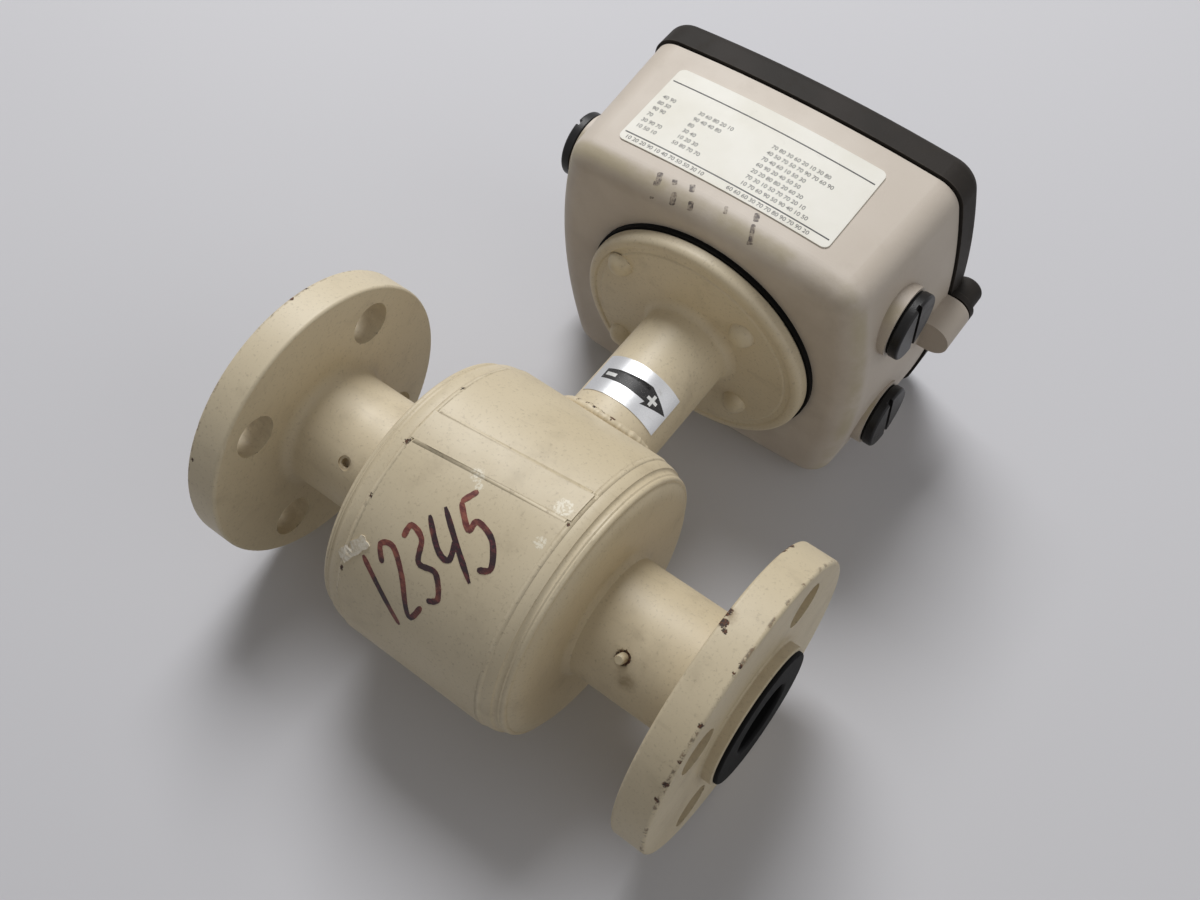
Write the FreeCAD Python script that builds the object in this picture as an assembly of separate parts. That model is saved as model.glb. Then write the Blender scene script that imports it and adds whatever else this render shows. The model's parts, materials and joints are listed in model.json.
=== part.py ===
"""Flanged electromagnetic flow meter with its terminal box, one STEP file per piece.

Frame: the origin is the centre of the measuring tube, half way between the flange faces.
+X is the direction of flow, +Z runs up the neck to the terminal box, and the labelled
face of the box looks along -Y. All sizes are in millimetres.
"""
import FreeCAD
import Part
import math
import os

from FreeCAD import Vector

# --- process pipe -------------------------------------------------------------------------
FACE_TO_FACE = 200.0       # between the sealing faces of the liner
BORE_R = 12.5              # flow passage
LINER_WALL = 3.0
TUBE_WALL = 2.5            # non-magnetic measuring tube
FLARE_MARGIN = 1.1         # raised face left around the turned-out end of the liner
FLARE_T = 3.0
FLARE_LIP_DEPTH = 1.6      # depth of the flare in its recess in the raised face
LINER_MOUTH_ROUND = 1.2
LINER_EDGE_ROUND = 0.8

# --- flanges ------------------------------------------------------------------------------
FLANGE_R = 54.0
FLANGE_T = 12.7
RAISED_FACE_R = 25.4
RAISED_FACE_H = 4.3
BOLT_PCD = 79.4
BOLT_HOLE_R = 7.95
BOLT_COUNT = 4
HUB_WALL = 4.0             # straight neck of the flange, outside the measuring tube
HUB_FILLET = 4.5           # where the hub meets the rim
RIM_ROUND = 1.2
RAISED_FOOT_ROUND = 0.8
RAISED_EDGE_ROUND = 0.5

# --- coil housing -------------------------------------------------------------------------
DRUM_R = 52.0
DRUM_WALL = 2.0
DRUM_LEN = 57.0            # cylindrical sheet
SHEET_EDGE_ROUND = 0.8
CAP_INSET = 0.6            # pressed end cap, a little smaller than the sheet
CAP_DEPTH = 11.5           # end face beyond the edge of the sheet
CAP_ROUND = 10.4
CAP_SKIRT = 4.0            # part of the cap inside the sheet
CAP_EDGE_ROUND = 0.4
CAP_GROOVE_ANGLE = 27.0    # round the shoulder of the cap, from its rim
CAP_GROOVE_R = 1.5
CAP_GROOVE_DEPTH = 0.6
CAP_BEAD_ANGLE = 43.0
CAP_BEAD_R = 1.3
CAP_BEAD_STANDS = 0.6
STRAP_W = 11.4             # lap strip over the long seam
STRAP_T = 0.4
STRAP_RISE = 2.3           # middle of the strip above the axis of the tube
STRAP_TURN = -6.0          # the strip runs a little askew
WELD_LEG = 3.0             # weld round the foot of the neck
HUB_WELD_LEG = 2.0
HUB_WELD_ROUND = 2.2

# --- neck, mounting disc ------------------------------------------------------------------
NECK_R = 17.4
NECK_WALL = 2.4
DISC_R = 46.7
DISC_BOTTOM_Z = 103.2
DISC_T = 5.8
DISC_ROUND = 2.6
DISC_GROOVE_R = 41.5
DISC_GROOVE_HALF_W = 1.6
DISC_GROOVE_FLAT = 1.0     # half width of its floor
DISC_GROOVE_D = 0.5
DISC_EDGE_ROUND = 0.8
NECK_FLARE = 3.6
DISC_BORE_R = 13.0
GASKET_MARGIN = 0.9        # gasket beyond the edge of the disc
GASKET_W = 7.0
GASKET_T = 1.8
SCREW_PITCH_X = 52.0
SCREW_PITCH_Y = 43.0
SCREW_SHIFT_X = -4.7
SCREW_R = 2.4
SCREW_HEAD_R = 5.0
SCREW_HEAD_H = 4.2
SCREW_CLEARANCE = 0.3
BOSS_WALL = 3.4
BOSS_H = 6.0
BOSS_CAP = 1.5             # solid end of a boss beyond its screw

# --- terminal box -------------------------------------------------------------------------
BOX_SHIFT_X = -2.0         # middle of the box from the axis of the neck
BOX_SHIFT_Y = 1.0
BOX_HALF_X = 60.8          # at the rim, where the side and the front would meet
BOX_HALF_Y = 58.3
BOX_BOW_X = 7.5            # outward bow of the two sides
BOX_BOW_Y = 3.3            # outward bow of the front and the rear
BOX_DRAFT_X = 3.2
BOX_DRAFT_Y = 1.2
BOX_H = 60.7
BOX_WALL = 3.2
BOX_FLOOR = 4.0
BOX_CORNER_R = 10.5
BOX_BOTTOM_ROUND = 9.0
SEAM_GAP = 0.8             # height of the lid gasket
SEAL_INSET = 0.9           # outer edge of the gasket inside the wall
LID_OVERHANG = 1.0
LID_H = 12.6
LID_TOP_T = 2.8
LID_ROUND = 4.5
LID_LIP_H = 3.0
LID_LIP_T = 1.8
LID_LIP_FIT = 0.4

# --- lid screw lugs -----------------------------------------------------------------------
LUG_OUT = 3.0              # axis of the lug outside the side of the box
LUG_R = 7.3
LUG_H = 15.5
EAR_R = 5.9
EAR_H = 12.6
EAR_ROUND = 1.8
EAR_RING_H = 2.6           # wider foot of the ear
EAR_SPIGOT_R = 5.3
LID_SCREW_R = 2.0
LID_SCREW_HEAD_R = 3.5
LID_SCREW_HEAD_H = 3.0
LID_SCREW_SINK = 4.0
LID_SCREW_LEN = 20.0
LID_SLOT_W = 1.2
LID_SLOT_D = 1.2
BRIDGE_H = 4.0             # collar that joins the locating lip to the lid

# --- cable entries ------------------------------------------------------------------------
ENTRY_Y = 29.0
ENTRY_RISE = 25.2          # axis of the entries above the bottom of the box
ENTRY_FACE_OUT = 6.1       # outer face of the boss, from the half width of the box
ENTRY_GRIP = 9.6           # wall with its boss and pad, between seal and lock nut
ENTRY_BOSS_R = 13.3
PLUG_R = 12.5
PLUG_HEAD_T = 3.8
PLUG_SHANK_R = 9.9
PLUG_FIT = 0.1
PLUG_SLOT_W = 2.4
PLUG_SLOT_D = 1.5
PLUG_SLOT_TURN = 6.0       # about X, from +Y
SEAL_T = 0.8
SEAL_R = 12.0
NUT_FLATS = 25.0
NUT_T = 4.0
SHANK_PAST_NUT = 1.0
SHANK_ROUND = 0.8
PLUG_FOOT_ROUND = 0.5
PLUG_FACE_ROUND = 1.0

# --- inside the terminal box --------------------------------------------------------------
BOARD_GAP_X = 15.8         # edge of the board from the half width of the box
BOARD_GAP_Y = 8.0
BOARD_RISE = 10.2          # underside of the board above the floor of the box
BOARD_T = 1.6
POST_INSET = 5.0           # posts from the edges of the board
POST_R = 4.0
BOARD_SCREW_R = 1.5
BOARD_SCREW_HEAD_R = 2.8
BOARD_SCREW_HEAD_H = 1.8
BOARD_SCREW_DEPTH = 6.0    # into a post
BOARD_CORNER_R = 3.0
LEAD_HOLE_R = 8.0
BUSHING_R = 15.5
BUSHING_FLANGE_T = 3.0
BUSHING_BORE_R = 6.0
BUSHING_ROUND = 1.0
BUSHING_LOW_ROUND = 0.6
BUSHING_RISE = 1.0         # lower end above the underside of the disc
BLOCK_LEN = 62.0
BLOCK_W = 13.0
BLOCK_H = 15.0
BLOCK_Y = 26.0
BLOCK_WAYS = 6
BLOCK_BEVEL = 2.5
WELL_R = 2.2               # well of a terminal screw
WELL_D = 5.0
MOUTH_SHARE = 0.6          # wire mouth, of the pitch of the ways
MOUTH_H = 5.0
MOUTH_D = 3.0
MOUTH_RISE = 3.0
MODULE_X = 34.0
MODULE_Y = 18.0
MODULE_H = 9.0
MODULE_ROUND = 1.2
MODULE_INSET = 0.5

# --- coils, yoke --------------------------------------------------------------------------
SHOE_T = 2.5
SHOE_HALF_ANGLE = 52.0
SHOE_LEN = 40.0
CORE_STRAIGHT = 20.0
CORE_R = 6.0
CORE_FIT = 0.2
BOBBIN_WALL = 1.0
BOBBIN_FLANGE_T = 1.5
BOBBIN_HEADROOM = 5.5      # between the bobbin and the yoke
BOBBIN_FLANGE_W = 9.6
COIL_W = 8.0
YOKE_GAP = 2.0             # between the yoke and the sheet of the drum
YOKE_T = 2.0
YOKE_LEN = 36.0
YOKE_LEAD_HOLE_R = 4.0
YOKE_LEAD_Y = -13.0

# --- electrodes ---------------------------------------------------------------------------
ELECTRODE_R = 1.6
ELECTRODE_HEAD_R = 4.0
ELECTRODE_HEAD_T = 2.5
ELECTRODE_STANDS = 12.0    # stem beyond the measuring tube
BUSH_R = 3.4
BUSH_FLANGE_R = 6.0
BUSH_STANDS = 3.0          # flange of the bush beyond the measuring tube
SPRING_T = 1.4
SPRING_LOW_R = 4.6
SPRING_HIGH_R = 2.9
ELECTRODE_NUT_T = 2.6
ELECTRODE_NUT_FLATS = 6.4

# --- earthing pin -------------------------------------------------------------------------
PIN_FROM_CAP = 17.5        # axis of the pin from the end face of the drum
PIN_ANGLE = -139.0         # about +X, from +Y towards +Z
PIN_R = 1.7
PIN_DEPTH = 3.0
PIN_STANDS = 3.4
PIN_SPOT_R = 2.6
PIN_SPOT_D = 0.5
PIN_BEVEL = 0.4

# --- labels -------------------------------------------------------------------------------
LABEL_W = 84.3
LABEL_H = 38.7
LABEL_T = 0.5
LABEL_CORNER_R = 2.5
LABEL_X = -3.2             # from the middle of the box
LABEL_DROP = 9.0           # from the rim down to the top edge
FOIL_T = 0.25
FOIL_RISE = 6.3            # lower edge above the top of the drum
FOIL_H = 16.9
FOIL_FROM = -141.0
FOIL_TO = -29.0

# --- cutting tools and tests --------------------------------------------------------------
PAST = 5.0                 # how far a tool runs past the face that it opens
SUNK = 1.0                 # how far a piece reaches into the one that it joins
NEAR = 0.01                # an edge this near to a height lies at it

# --- positions that follow ----------------------------------------------------------------
X = Vector(1, 0, 0)
Y = Vector(0, 1, 0)
Z = Vector(0, 0, 1)
ORIGIN = Vector(0, 0, 0)

half = FACE_TO_FACE / 2
liner_r = BORE_R + LINER_WALL
tube_r = liner_r + TUBE_WALL
hub_r = tube_r + HUB_WALL
flare_r = RAISED_FACE_R - FLARE_MARGIN
recess_x = half - FLARE_T
raised_x = recess_x + FLARE_LIP_DEPTH
rim_out_x = raised_x - RAISED_FACE_H
rim_in_x = rim_out_x - FLANGE_T
sheet_x = DRUM_LEN / 2
cap_x = sheet_x + CAP_DEPTH
cap_r = DRUM_R - CAP_INSET
pin_x = cap_x + PIN_FROM_CAP
foil_low_z = DRUM_R + FOIL_RISE
gasket_r = DISC_R + GASKET_MARGIN
disc_top_z = DISC_BOTTOM_Z + DISC_T
box_bottom_z = disc_top_z + GASKET_T
floor_z = box_bottom_z + BOX_FLOOR
boss_top_z = floor_z + BOSS_H
rim_z = box_bottom_z + BOX_H
lid_bottom_z = rim_z + SEAM_GAP
lid_top_z = lid_bottom_z + LID_H
lug_x = BOX_HALF_X + BOX_BOW_X + LUG_OUT
entry_z = box_bottom_z + ENTRY_RISE
entry_face_x = BOX_HALF_X + ENTRY_FACE_OUT
entry_pad_x = entry_face_x - ENTRY_GRIP
plug_x = entry_face_x + SEAL_T
board_half_x = BOX_HALF_X - BOARD_GAP_X
board_half_y = BOX_HALF_Y - BOARD_GAP_Y
board_z = floor_z + BOARD_RISE
board_top_z = board_z + BOARD_T
yoke_r = DRUM_R - DRUM_WALL - YOKE_GAP
bobbin_low = tube_r + SHOE_T
bobbin_high = yoke_r - YOKE_T - BOBBIN_HEADROOM
electrode_end = tube_r + ELECTRODE_STANDS
bush_top = tube_r + BUSH_STANDS
head_end = BORE_R + ELECTRODE_HEAD_T
cap_shoulder_x = cap_x - CAP_ROUND
cap_shoulder_r = cap_r - CAP_ROUND


# --- helpers ------------------------------------------------------------------------------
def rounded_wire(points, place):
    """Closed wire through (a, b, radius) points; a radius makes a tangent arc there."""
    count = len(points)
    corners = [Vector(a, b, 0) for a, b, r in points]
    edges = []
    starts = []
    ends = []
    middles = []
    for i, (a, b, r) in enumerate(points):
        here = corners[i]
        if r <= 0:
            starts.append(here)
            ends.append(here)
            middles.append(None)
            continue
        back = (corners[i - 1] - here).normalize()
        ahead = (corners[(i + 1) % count] - here).normalize()
        half_angle = back.getAngle(ahead) / 2
        reach = r / math.tan(half_angle)
        bisector = (back + ahead).normalize()
        centre = here + bisector * (r / math.sin(half_angle))
        starts.append(here + back * reach)
        ends.append(here + ahead * reach)
        middles.append(centre - bisector * r)
    for i in range(count):
        if middles[i] is not None:
            arc = Part.Arc(place(starts[i]), place(middles[i]), place(ends[i]))
            edges.append(arc.toShape())
        following = starts[(i + 1) % count]
        if ends[i].distanceToPoint(following) > 1e-6:
            edges.append(Part.makeLine(place(ends[i]), place(following)))
    return Part.Wire(edges)


def turned_x(points):
    """Solid of revolution about X from (x, radius, rounding) points."""
    wire = rounded_wire(points, lambda v: Vector(v.x, 0, v.y))
    return Part.Face(wire).revolve(ORIGIN, X, 360)


def turned_z(points):
    """Solid of revolution about Z from (radius, z, rounding) points."""
    wire = rounded_wire(points, lambda v: Vector(v.x, 0, v.y))
    return Part.Face(wire).revolve(ORIGIN, Z, 360)


def rod(radius, start, end):
    """Round bar between two points."""
    way = end - start
    return Part.makeCylinder(radius, way.Length, start, way)


def ring(outer, inner, start, end):
    """Round tube between two points."""
    return rod(outer, start, end).cut(rod(inner, start, end))


def fused(first, *others):
    """One solid out of pieces that are moulded, welded or machined as one."""
    return first.fuse(list(others)).removeSplitter()


def mirrored_x(shape):
    """The same piece on the other side of the middle of the meter."""
    return shape.mirror(ORIGIN, X)


def turned_over(shape):
    """The same piece on the opposite side of the axis of the tube."""
    return shape.copy().rotate(ORIGIN, X, 180)


def hexagon(flats, start, way, length):
    """Hexagonal bar of a given width across flats, along X or Y."""
    radius = flats / math.sqrt(3)
    side = Z
    across = way.cross(side)
    corners = []
    for k in range(7):
        angle = math.radians(60 * k)
        corners.append(start + side * (radius * math.cos(angle)) + across * (radius * math.sin(angle)))
    return Part.Face(Part.makePolygon(corners)).extrude(way * length)


def on_box(shape):
    """Move a piece of the terminal box from the box's own middle to its place on the disc."""
    return shape.translated(Vector(BOX_SHIFT_X, BOX_SHIFT_Y, 0))


def stadium(straight, radius, z_low, z_high):
    """Straight bar with round ends, long along X and standing along Z."""
    reach = straight / 2
    low = [Vector(-reach, -radius, z_low), Vector(reach, -radius, z_low)]
    high = [Vector(reach, radius, z_low), Vector(-reach, radius, z_low)]
    edges = [
        Part.makeLine(low[0], low[1]),
        Part.Arc(low[1], Vector(reach + radius, 0, z_low), high[0]).toShape(),
        Part.makeLine(high[0], high[1]),
        Part.Arc(high[1], Vector(-reach - radius, 0, z_low), low[0]).toShape(),
    ]
    return Part.Face(Part.Wire(edges)).extrude(Z * (z_high - z_low))


def bowed_outline(half_x, half_y, z):
    """Rectangle whose four sides bow outwards, as a wire at height z."""
    a = Vector(-half_x, -half_y, z)
    b = Vector(half_x, -half_y, z)
    c = Vector(half_x, half_y, z)
    d = Vector(-half_x, half_y, z)
    edges = [
        Part.Arc(a, Vector(0, -half_y - BOX_BOW_Y, z), b).toShape(),
        Part.Arc(b, Vector(half_x + BOX_BOW_X, 0, z), c).toShape(),
        Part.Arc(c, Vector(0, half_y + BOX_BOW_Y, z), d).toShape(),
        Part.Arc(d, Vector(-half_x - BOX_BOW_X, 0, z), a).toShape(),
    ]
    return Part.Wire(edges)


def upright_corner(edge, height):
    """True for the four edges that climb from the bottom outline to the top one."""
    return edge.BoundBox.ZLength > 0.9 * height


def drafted_body(half_x, half_y, z_low, z_high, draft_x, draft_y, corner, bottom_round, top_round):
    """Box-like body with bowed sides, draft, rounded corners and rounded ends."""
    low = bowed_outline(half_x - draft_x, half_y - draft_y, z_low)
    high = bowed_outline(half_x, half_y, z_high)
    body = Part.makeLoft([low, high], True, True)
    body = body.makeFillet(corner, [e for e in body.Edges if upright_corner(e, z_high - z_low)])
    if bottom_round > 0:
        flat = [e for e in body.Edges if e.BoundBox.ZMax < z_low + NEAR]
        body = body.makeFillet(bottom_round, flat)
    if top_round > 0:
        flat = [e for e in body.Edges if e.BoundBox.ZMin > z_high - NEAR]
        body = body.makeFillet(top_round, flat)
    return body


def entries():
    """Side (+1 or -1 along X) and y of each cable entry, with a name."""
    return [
        ("right_front", 1, -ENTRY_Y),
        ("right_rear", 1, ENTRY_Y),
        ("left_front", -1, -ENTRY_Y),
        ("left_rear", -1, ENTRY_Y),
    ]


def disc_screw_points():
    """Axes of the four screws that hold the terminal box on its disc."""
    points = []
    for sx in (-1, 1):
        for sy in (-1, 1):
            points.append((SCREW_SHIFT_X + sx * SCREW_PITCH_X / 2, sy * SCREW_PITCH_Y / 2))
    return points


def box_screw_points():
    """The same four axes, from the middle of the box."""
    return [(x - BOX_SHIFT_X, y - BOX_SHIFT_Y) for x, y in disc_screw_points()]


def post_points():
    """Axes of the four posts under the connection board."""
    reach_x = board_half_x - POST_INSET
    reach_y = board_half_y - POST_INSET
    return [(sx * reach_x, sy * reach_y) for sx in (-1, 1) for sy in (-1, 1)]


def electrode_sides():
    """The two electrodes face each other across the tube, square to the neck."""
    return [("front", -1), ("rear", 1)]


# --- process pipe -------------------------------------------------------------------------
def flange():
    """Outlet flange: rim, raised face with its recess, and the hub that reaches the drum."""
    profile = [
        (cap_x - CAP_SKIRT, tube_r, 0),
        (cap_x - CAP_SKIRT, hub_r, 0),
        (rim_in_x, hub_r, HUB_FILLET),
        (rim_in_x, FLANGE_R, RIM_ROUND),
        (rim_out_x, FLANGE_R, RIM_ROUND),
        (rim_out_x, RAISED_FACE_R, RAISED_FOOT_ROUND),
        (raised_x, RAISED_FACE_R, RAISED_EDGE_ROUND),
        (raised_x, flare_r, 0),
        (recess_x, flare_r, 0),
        (recess_x, tube_r, 0),
    ]
    body = turned_x(profile)
    for k in range(BOLT_COUNT):
        angle = math.radians((k + 0.5) * 360 / BOLT_COUNT)
        y = BOLT_PCD / 2 * math.cos(angle)
        z = BOLT_PCD / 2 * math.sin(angle)
        body = body.cut(rod(BOLT_HOLE_R, Vector(rim_in_x - PAST, y, z), Vector(rim_out_x + PAST, y, z)))
    return body


def pin_way():
    """Radial direction of the earthing pin and of its hole."""
    angle = math.radians(PIN_ANGLE)
    return Vector(0, math.cos(angle), math.sin(angle))


def pin_hole():
    """Blind hole of the earthing pin with a shallow spot face."""
    way = pin_way()
    foot = Vector(pin_x, 0, 0)
    hole = rod(PIN_R, foot + way * (hub_r - PIN_DEPTH), foot + way * (hub_r + PAST))
    spot = rod(PIN_SPOT_R, foot + way * (hub_r - PIN_SPOT_D), foot + way * (hub_r + PAST))
    return hole.fuse(spot)


def earthing_pin():
    """Short plain pin that stands out of the outlet hub."""
    way = pin_way()
    foot = Vector(pin_x, 0, 0)
    pin = rod(PIN_R, foot + way * (hub_r - PIN_DEPTH), foot + way * (hub_r + PIN_STANDS))
    tip = [e for e in pin.Edges if e.Closed and e.CenterOfMass.distanceToPoint(foot) > hub_r]
    return pin.makeChamfer(PIN_BEVEL, tip)


def electrode_cuts(radius):
    """Radial holes for both electrodes."""
    return rod(radius, Vector(0, -tube_r - PAST, 0), Vector(0, tube_r + PAST, 0))


def measuring_tube():
    """Thin stainless tube welded between the flanges."""
    body = ring(tube_r, liner_r, Vector(-recess_x, 0, 0), Vector(recess_x, 0, 0))
    return body.cut(electrode_cuts(BUSH_R))


def electrode_heads():
    """Space that the two electrode heads take in the liner."""
    return rod(ELECTRODE_HEAD_R, Vector(0, -head_end, 0), Vector(0, head_end, 0))


def liner():
    """Rubber lining, turned out over both raised faces, with seats for the electrodes."""
    profile = [
        (-half, BORE_R, LINER_MOUTH_ROUND),
        (-half, flare_r, LINER_EDGE_ROUND),
        (-recess_x, flare_r, 0),
        (-recess_x, liner_r, 0),
        (recess_x, liner_r, 0),
        (recess_x, flare_r, 0),
        (half, flare_r, LINER_EDGE_ROUND),
        (half, BORE_R, LINER_MOUTH_ROUND),
    ]
    body = turned_x(profile)
    body = body.cut(electrode_heads())
    return body.cut(electrode_cuts(BUSH_R))


def electrode(side):
    """Measuring electrode, its head flush with the bore."""
    way = Y * side
    head = rod(ELECTRODE_HEAD_R, way * (BORE_R - PAST), way * head_end)
    stem = rod(ELECTRODE_R, way * BORE_R, way * electrode_end)
    body = fused(head, stem)
    return body.cut(rod(BORE_R, X * -half, X * half))


def electrode_bush(side):
    """Insulating bush that carries an electrode through the wall of the tube."""
    way = Y * side
    sleeve = rod(BUSH_R, way * head_end, way * bush_top)
    collar = rod(BUSH_FLANGE_R, way * liner_r, way * bush_top)
    collar = collar.cut(rod(tube_r, X * -half, X * half))
    body = fused(sleeve, collar)
    return body.cut(rod(ELECTRODE_R, ORIGIN, way * (bush_top + PAST)))


def electrode_spring(side):
    """Coned spring washer that keeps the electrode tight."""
    way = Y * side
    cone = Part.makeCone(SPRING_LOW_R, SPRING_HIGH_R, SPRING_T, way * bush_top, way)
    return cone.cut(rod(ELECTRODE_R, ORIGIN, way * (bush_top + PAST)))


def electrode_nut(side):
    """Small hexagonal nut on the stem of an electrode."""
    way = Y * side
    body = hexagon(ELECTRODE_NUT_FLATS, way * (bush_top + SPRING_T), way, ELECTRODE_NUT_T)
    return body.cut(rod(ELECTRODE_R, ORIGIN, way * (electrode_end + PAST)))


# --- coils --------------------------------------------------------------------------------
def pole_piece():
    """Curved pole shoe on the tube with the core that stands on it, upper one."""
    section = Part.makePlane(SHOE_LEN, SHOE_T, Vector(-SHOE_LEN / 2, 0, tube_r), Y * -1, X)
    section.rotate(ORIGIN, X, -SHOE_HALF_ANGLE)
    shoe = section.revolve(ORIGIN, X, 2 * SHOE_HALF_ANGLE)
    core = stadium(CORE_STRAIGHT, CORE_R, tube_r - SUNK, yoke_r)
    core = core.common(ring(yoke_r - YOKE_T, tube_r, X * -half, X * half))
    return fused(shoe, core)


def coil_bobbin():
    """Moulded former of the upper coil."""
    low = bobbin_low
    high = bobbin_high
    inner = CORE_R + CORE_FIT
    wall = inner + BOBBIN_WALL
    flange_r = wall + BOBBIN_FLANGE_W - BOBBIN_WALL
    body = fused(
        stadium(CORE_STRAIGHT, wall, low, high),
        stadium(CORE_STRAIGHT, flange_r, low, low + BOBBIN_FLANGE_T),
        stadium(CORE_STRAIGHT, flange_r, high - BOBBIN_FLANGE_T, high),
    )
    return body.cut(stadium(CORE_STRAIGHT, inner, low - PAST, high + PAST))


def coil():
    """Winding of the upper coil."""
    low = bobbin_low + BOBBIN_FLANGE_T
    high = bobbin_high - BOBBIN_FLANGE_T
    wall = CORE_R + CORE_FIT + BOBBIN_WALL
    outer = stadium(CORE_STRAIGHT, wall + COIL_W, low, high)
    return outer.cut(stadium(CORE_STRAIGHT, wall, low - PAST, high + PAST))


def magnetic_yoke():
    """Steel band round both cores that closes the magnetic circuit."""
    start = Vector(-YOKE_LEN / 2, 0, 0)
    end = Vector(YOKE_LEN / 2, 0, 0)
    body = ring(yoke_r, yoke_r - YOKE_T, start, end)
    hole = rod(YOKE_LEAD_HOLE_R, Vector(0, YOKE_LEAD_Y, 0), Vector(0, YOKE_LEAD_Y, yoke_r + PAST))
    return body.cut(hole)


# --- coil housing -------------------------------------------------------------------------
def housing_shell():
    """Rolled sheet of the drum, with the lap strip of its seam and the hole for the neck."""
    start = Vector(-sheet_x, 0, 0)
    end = Vector(sheet_x, 0, 0)
    inside_r = DRUM_R - DRUM_WALL
    profile = [
        (-sheet_x, inside_r, 0),
        (-sheet_x, DRUM_R, SHEET_EDGE_ROUND),
        (sheet_x, DRUM_R, SHEET_EDGE_ROUND),
        (sheet_x, inside_r, 0),
    ]
    strip = ring(DRUM_R + STRAP_T, inside_r + STRAP_T, start, end)
    corner = Vector(-DRUM_LEN, -DRUM_R - PAST, STRAP_RISE - STRAP_W / 2)
    window = Part.makeBox(2 * DRUM_LEN, DRUM_R, STRAP_W, corner)
    window.rotate(Vector(0, 0, STRAP_RISE), Y, STRAP_TURN)
    body = fused(turned_x(profile), strip.common(window))
    return body.cut(rod(NECK_R - NECK_WALL, ORIGIN, Z * (DRUM_R + PAST)))


def cap_ring(angle, minor_r, centre_depth):
    """Round ring that follows the shoulder of the cap, its centre under the surface."""
    reach = CAP_ROUND - centre_depth
    turn = math.radians(angle)
    place = Vector(cap_shoulder_x + reach * math.sin(turn), 0, 0)
    return Part.makeTorus(cap_shoulder_r + reach * math.cos(turn), minor_r, place, X)


def housing_end():
    """Pressed end cap at the outlet side: skirt inside the sheet, groove and weld bead
    round the shoulder, and the weld round the hub."""
    inside_r = DRUM_R - DRUM_WALL
    profile = [
        (sheet_x - CAP_SKIRT, inside_r - DRUM_WALL, 0),
        (sheet_x - CAP_SKIRT, inside_r, 0),
        (sheet_x, inside_r, 0),
        (sheet_x, cap_r, CAP_EDGE_ROUND),
        (cap_x, cap_r, CAP_ROUND),
        (cap_x, hub_r + HUB_WELD_LEG, HUB_WELD_ROUND),
        (cap_x + HUB_WELD_LEG, hub_r, 0),
        (cap_x - DRUM_WALL, hub_r, 0),
        (cap_x - DRUM_WALL, inside_r - DRUM_WALL, CAP_ROUND - DRUM_WALL),
    ]
    groove = cap_ring(CAP_GROOVE_ANGLE, CAP_GROOVE_R, CAP_GROOVE_DEPTH - CAP_GROOVE_R)
    bead = cap_ring(CAP_BEAD_ANGLE, CAP_BEAD_R, CAP_BEAD_R - CAP_BEAD_STANDS)
    return fused(turned_x(profile), bead).cut(groove)


# --- neck, disc ---------------------------------------------------------------------------
def neck_tube():
    """Round neck from the drum to the disc, with the weld at its foot and a flared top."""
    drum = rod(DRUM_R, Vector(-sheet_x, 0, 0), Vector(sheet_x, 0, 0))
    low_z = DISC_BOTTOM_Z - NECK_FLARE
    joined = drum.fuse(rod(NECK_R, ORIGIN, Z * low_z))
    saddle = [e for e in joined.Edges if on_saddle(e)]
    body = joined.makeFillet(WELD_LEG, saddle).cut(drum)
    mid = NECK_FLARE * (1 - math.sqrt(0.5))
    edges = [
        Part.makeLine(Vector(0, 0, low_z), Vector(NECK_R, 0, low_z)),
        Part.Arc(
            Vector(NECK_R, 0, low_z),
            Vector(NECK_R + mid, 0, DISC_BOTTOM_Z - mid),
            Vector(NECK_R + NECK_FLARE, 0, DISC_BOTTOM_Z),
        ).toShape(),
        Part.makeLine(Vector(NECK_R + NECK_FLARE, 0, DISC_BOTTOM_Z), Vector(0, 0, DISC_BOTTOM_Z)),
        Part.makeLine(Vector(0, 0, DISC_BOTTOM_Z), Vector(0, 0, low_z)),
    ]
    flare = Part.Face(Part.Wire(edges)).revolve(ORIGIN, Z, 360)
    body = fused(body, flare)
    return body.cut(rod(NECK_R - NECK_WALL, ORIGIN, Z * (DISC_BOTTOM_Z + PAST)))


def on_saddle(edge):
    """True for the curve in which the neck meets the drum."""
    box = edge.BoundBox
    reach = max(abs(box.XMin), abs(box.XMax), abs(box.YMin), abs(box.YMax))
    return box.ZMin > 0 and box.ZMax < DRUM_R + NEAR and reach < NECK_R + NEAR


def mounting_disc():
    """Thick disc on top of the neck, with a shallow groove underneath near the edge."""
    low = DISC_BOTTOM_Z
    profile = [
        (DISC_BORE_R, low, 0),
        (DISC_GROOVE_R - DISC_GROOVE_HALF_W, low, DISC_EDGE_ROUND),
        (DISC_GROOVE_R - DISC_GROOVE_FLAT, low + DISC_GROOVE_D, 0),
        (DISC_GROOVE_R + DISC_GROOVE_FLAT, low + DISC_GROOVE_D, 0),
        (DISC_GROOVE_R + DISC_GROOVE_HALF_W, low, DISC_EDGE_ROUND),
        (DISC_R, low, DISC_ROUND),
        (DISC_R, disc_top_z, DISC_EDGE_ROUND),
        (DISC_BORE_R, disc_top_z, 0),
    ]
    body = turned_z(profile)
    for x, y in disc_screw_points():
        hole = rod(SCREW_R + SCREW_CLEARANCE, Vector(x, y, low - PAST), Vector(x, y, disc_top_z + PAST))
        body = body.cut(hole)
    return body


def disc_gasket():
    """Flat sealing ring between the disc and the terminal box."""
    return ring(gasket_r, gasket_r - GASKET_W, Z * disc_top_z, Z * box_bottom_z)


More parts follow.
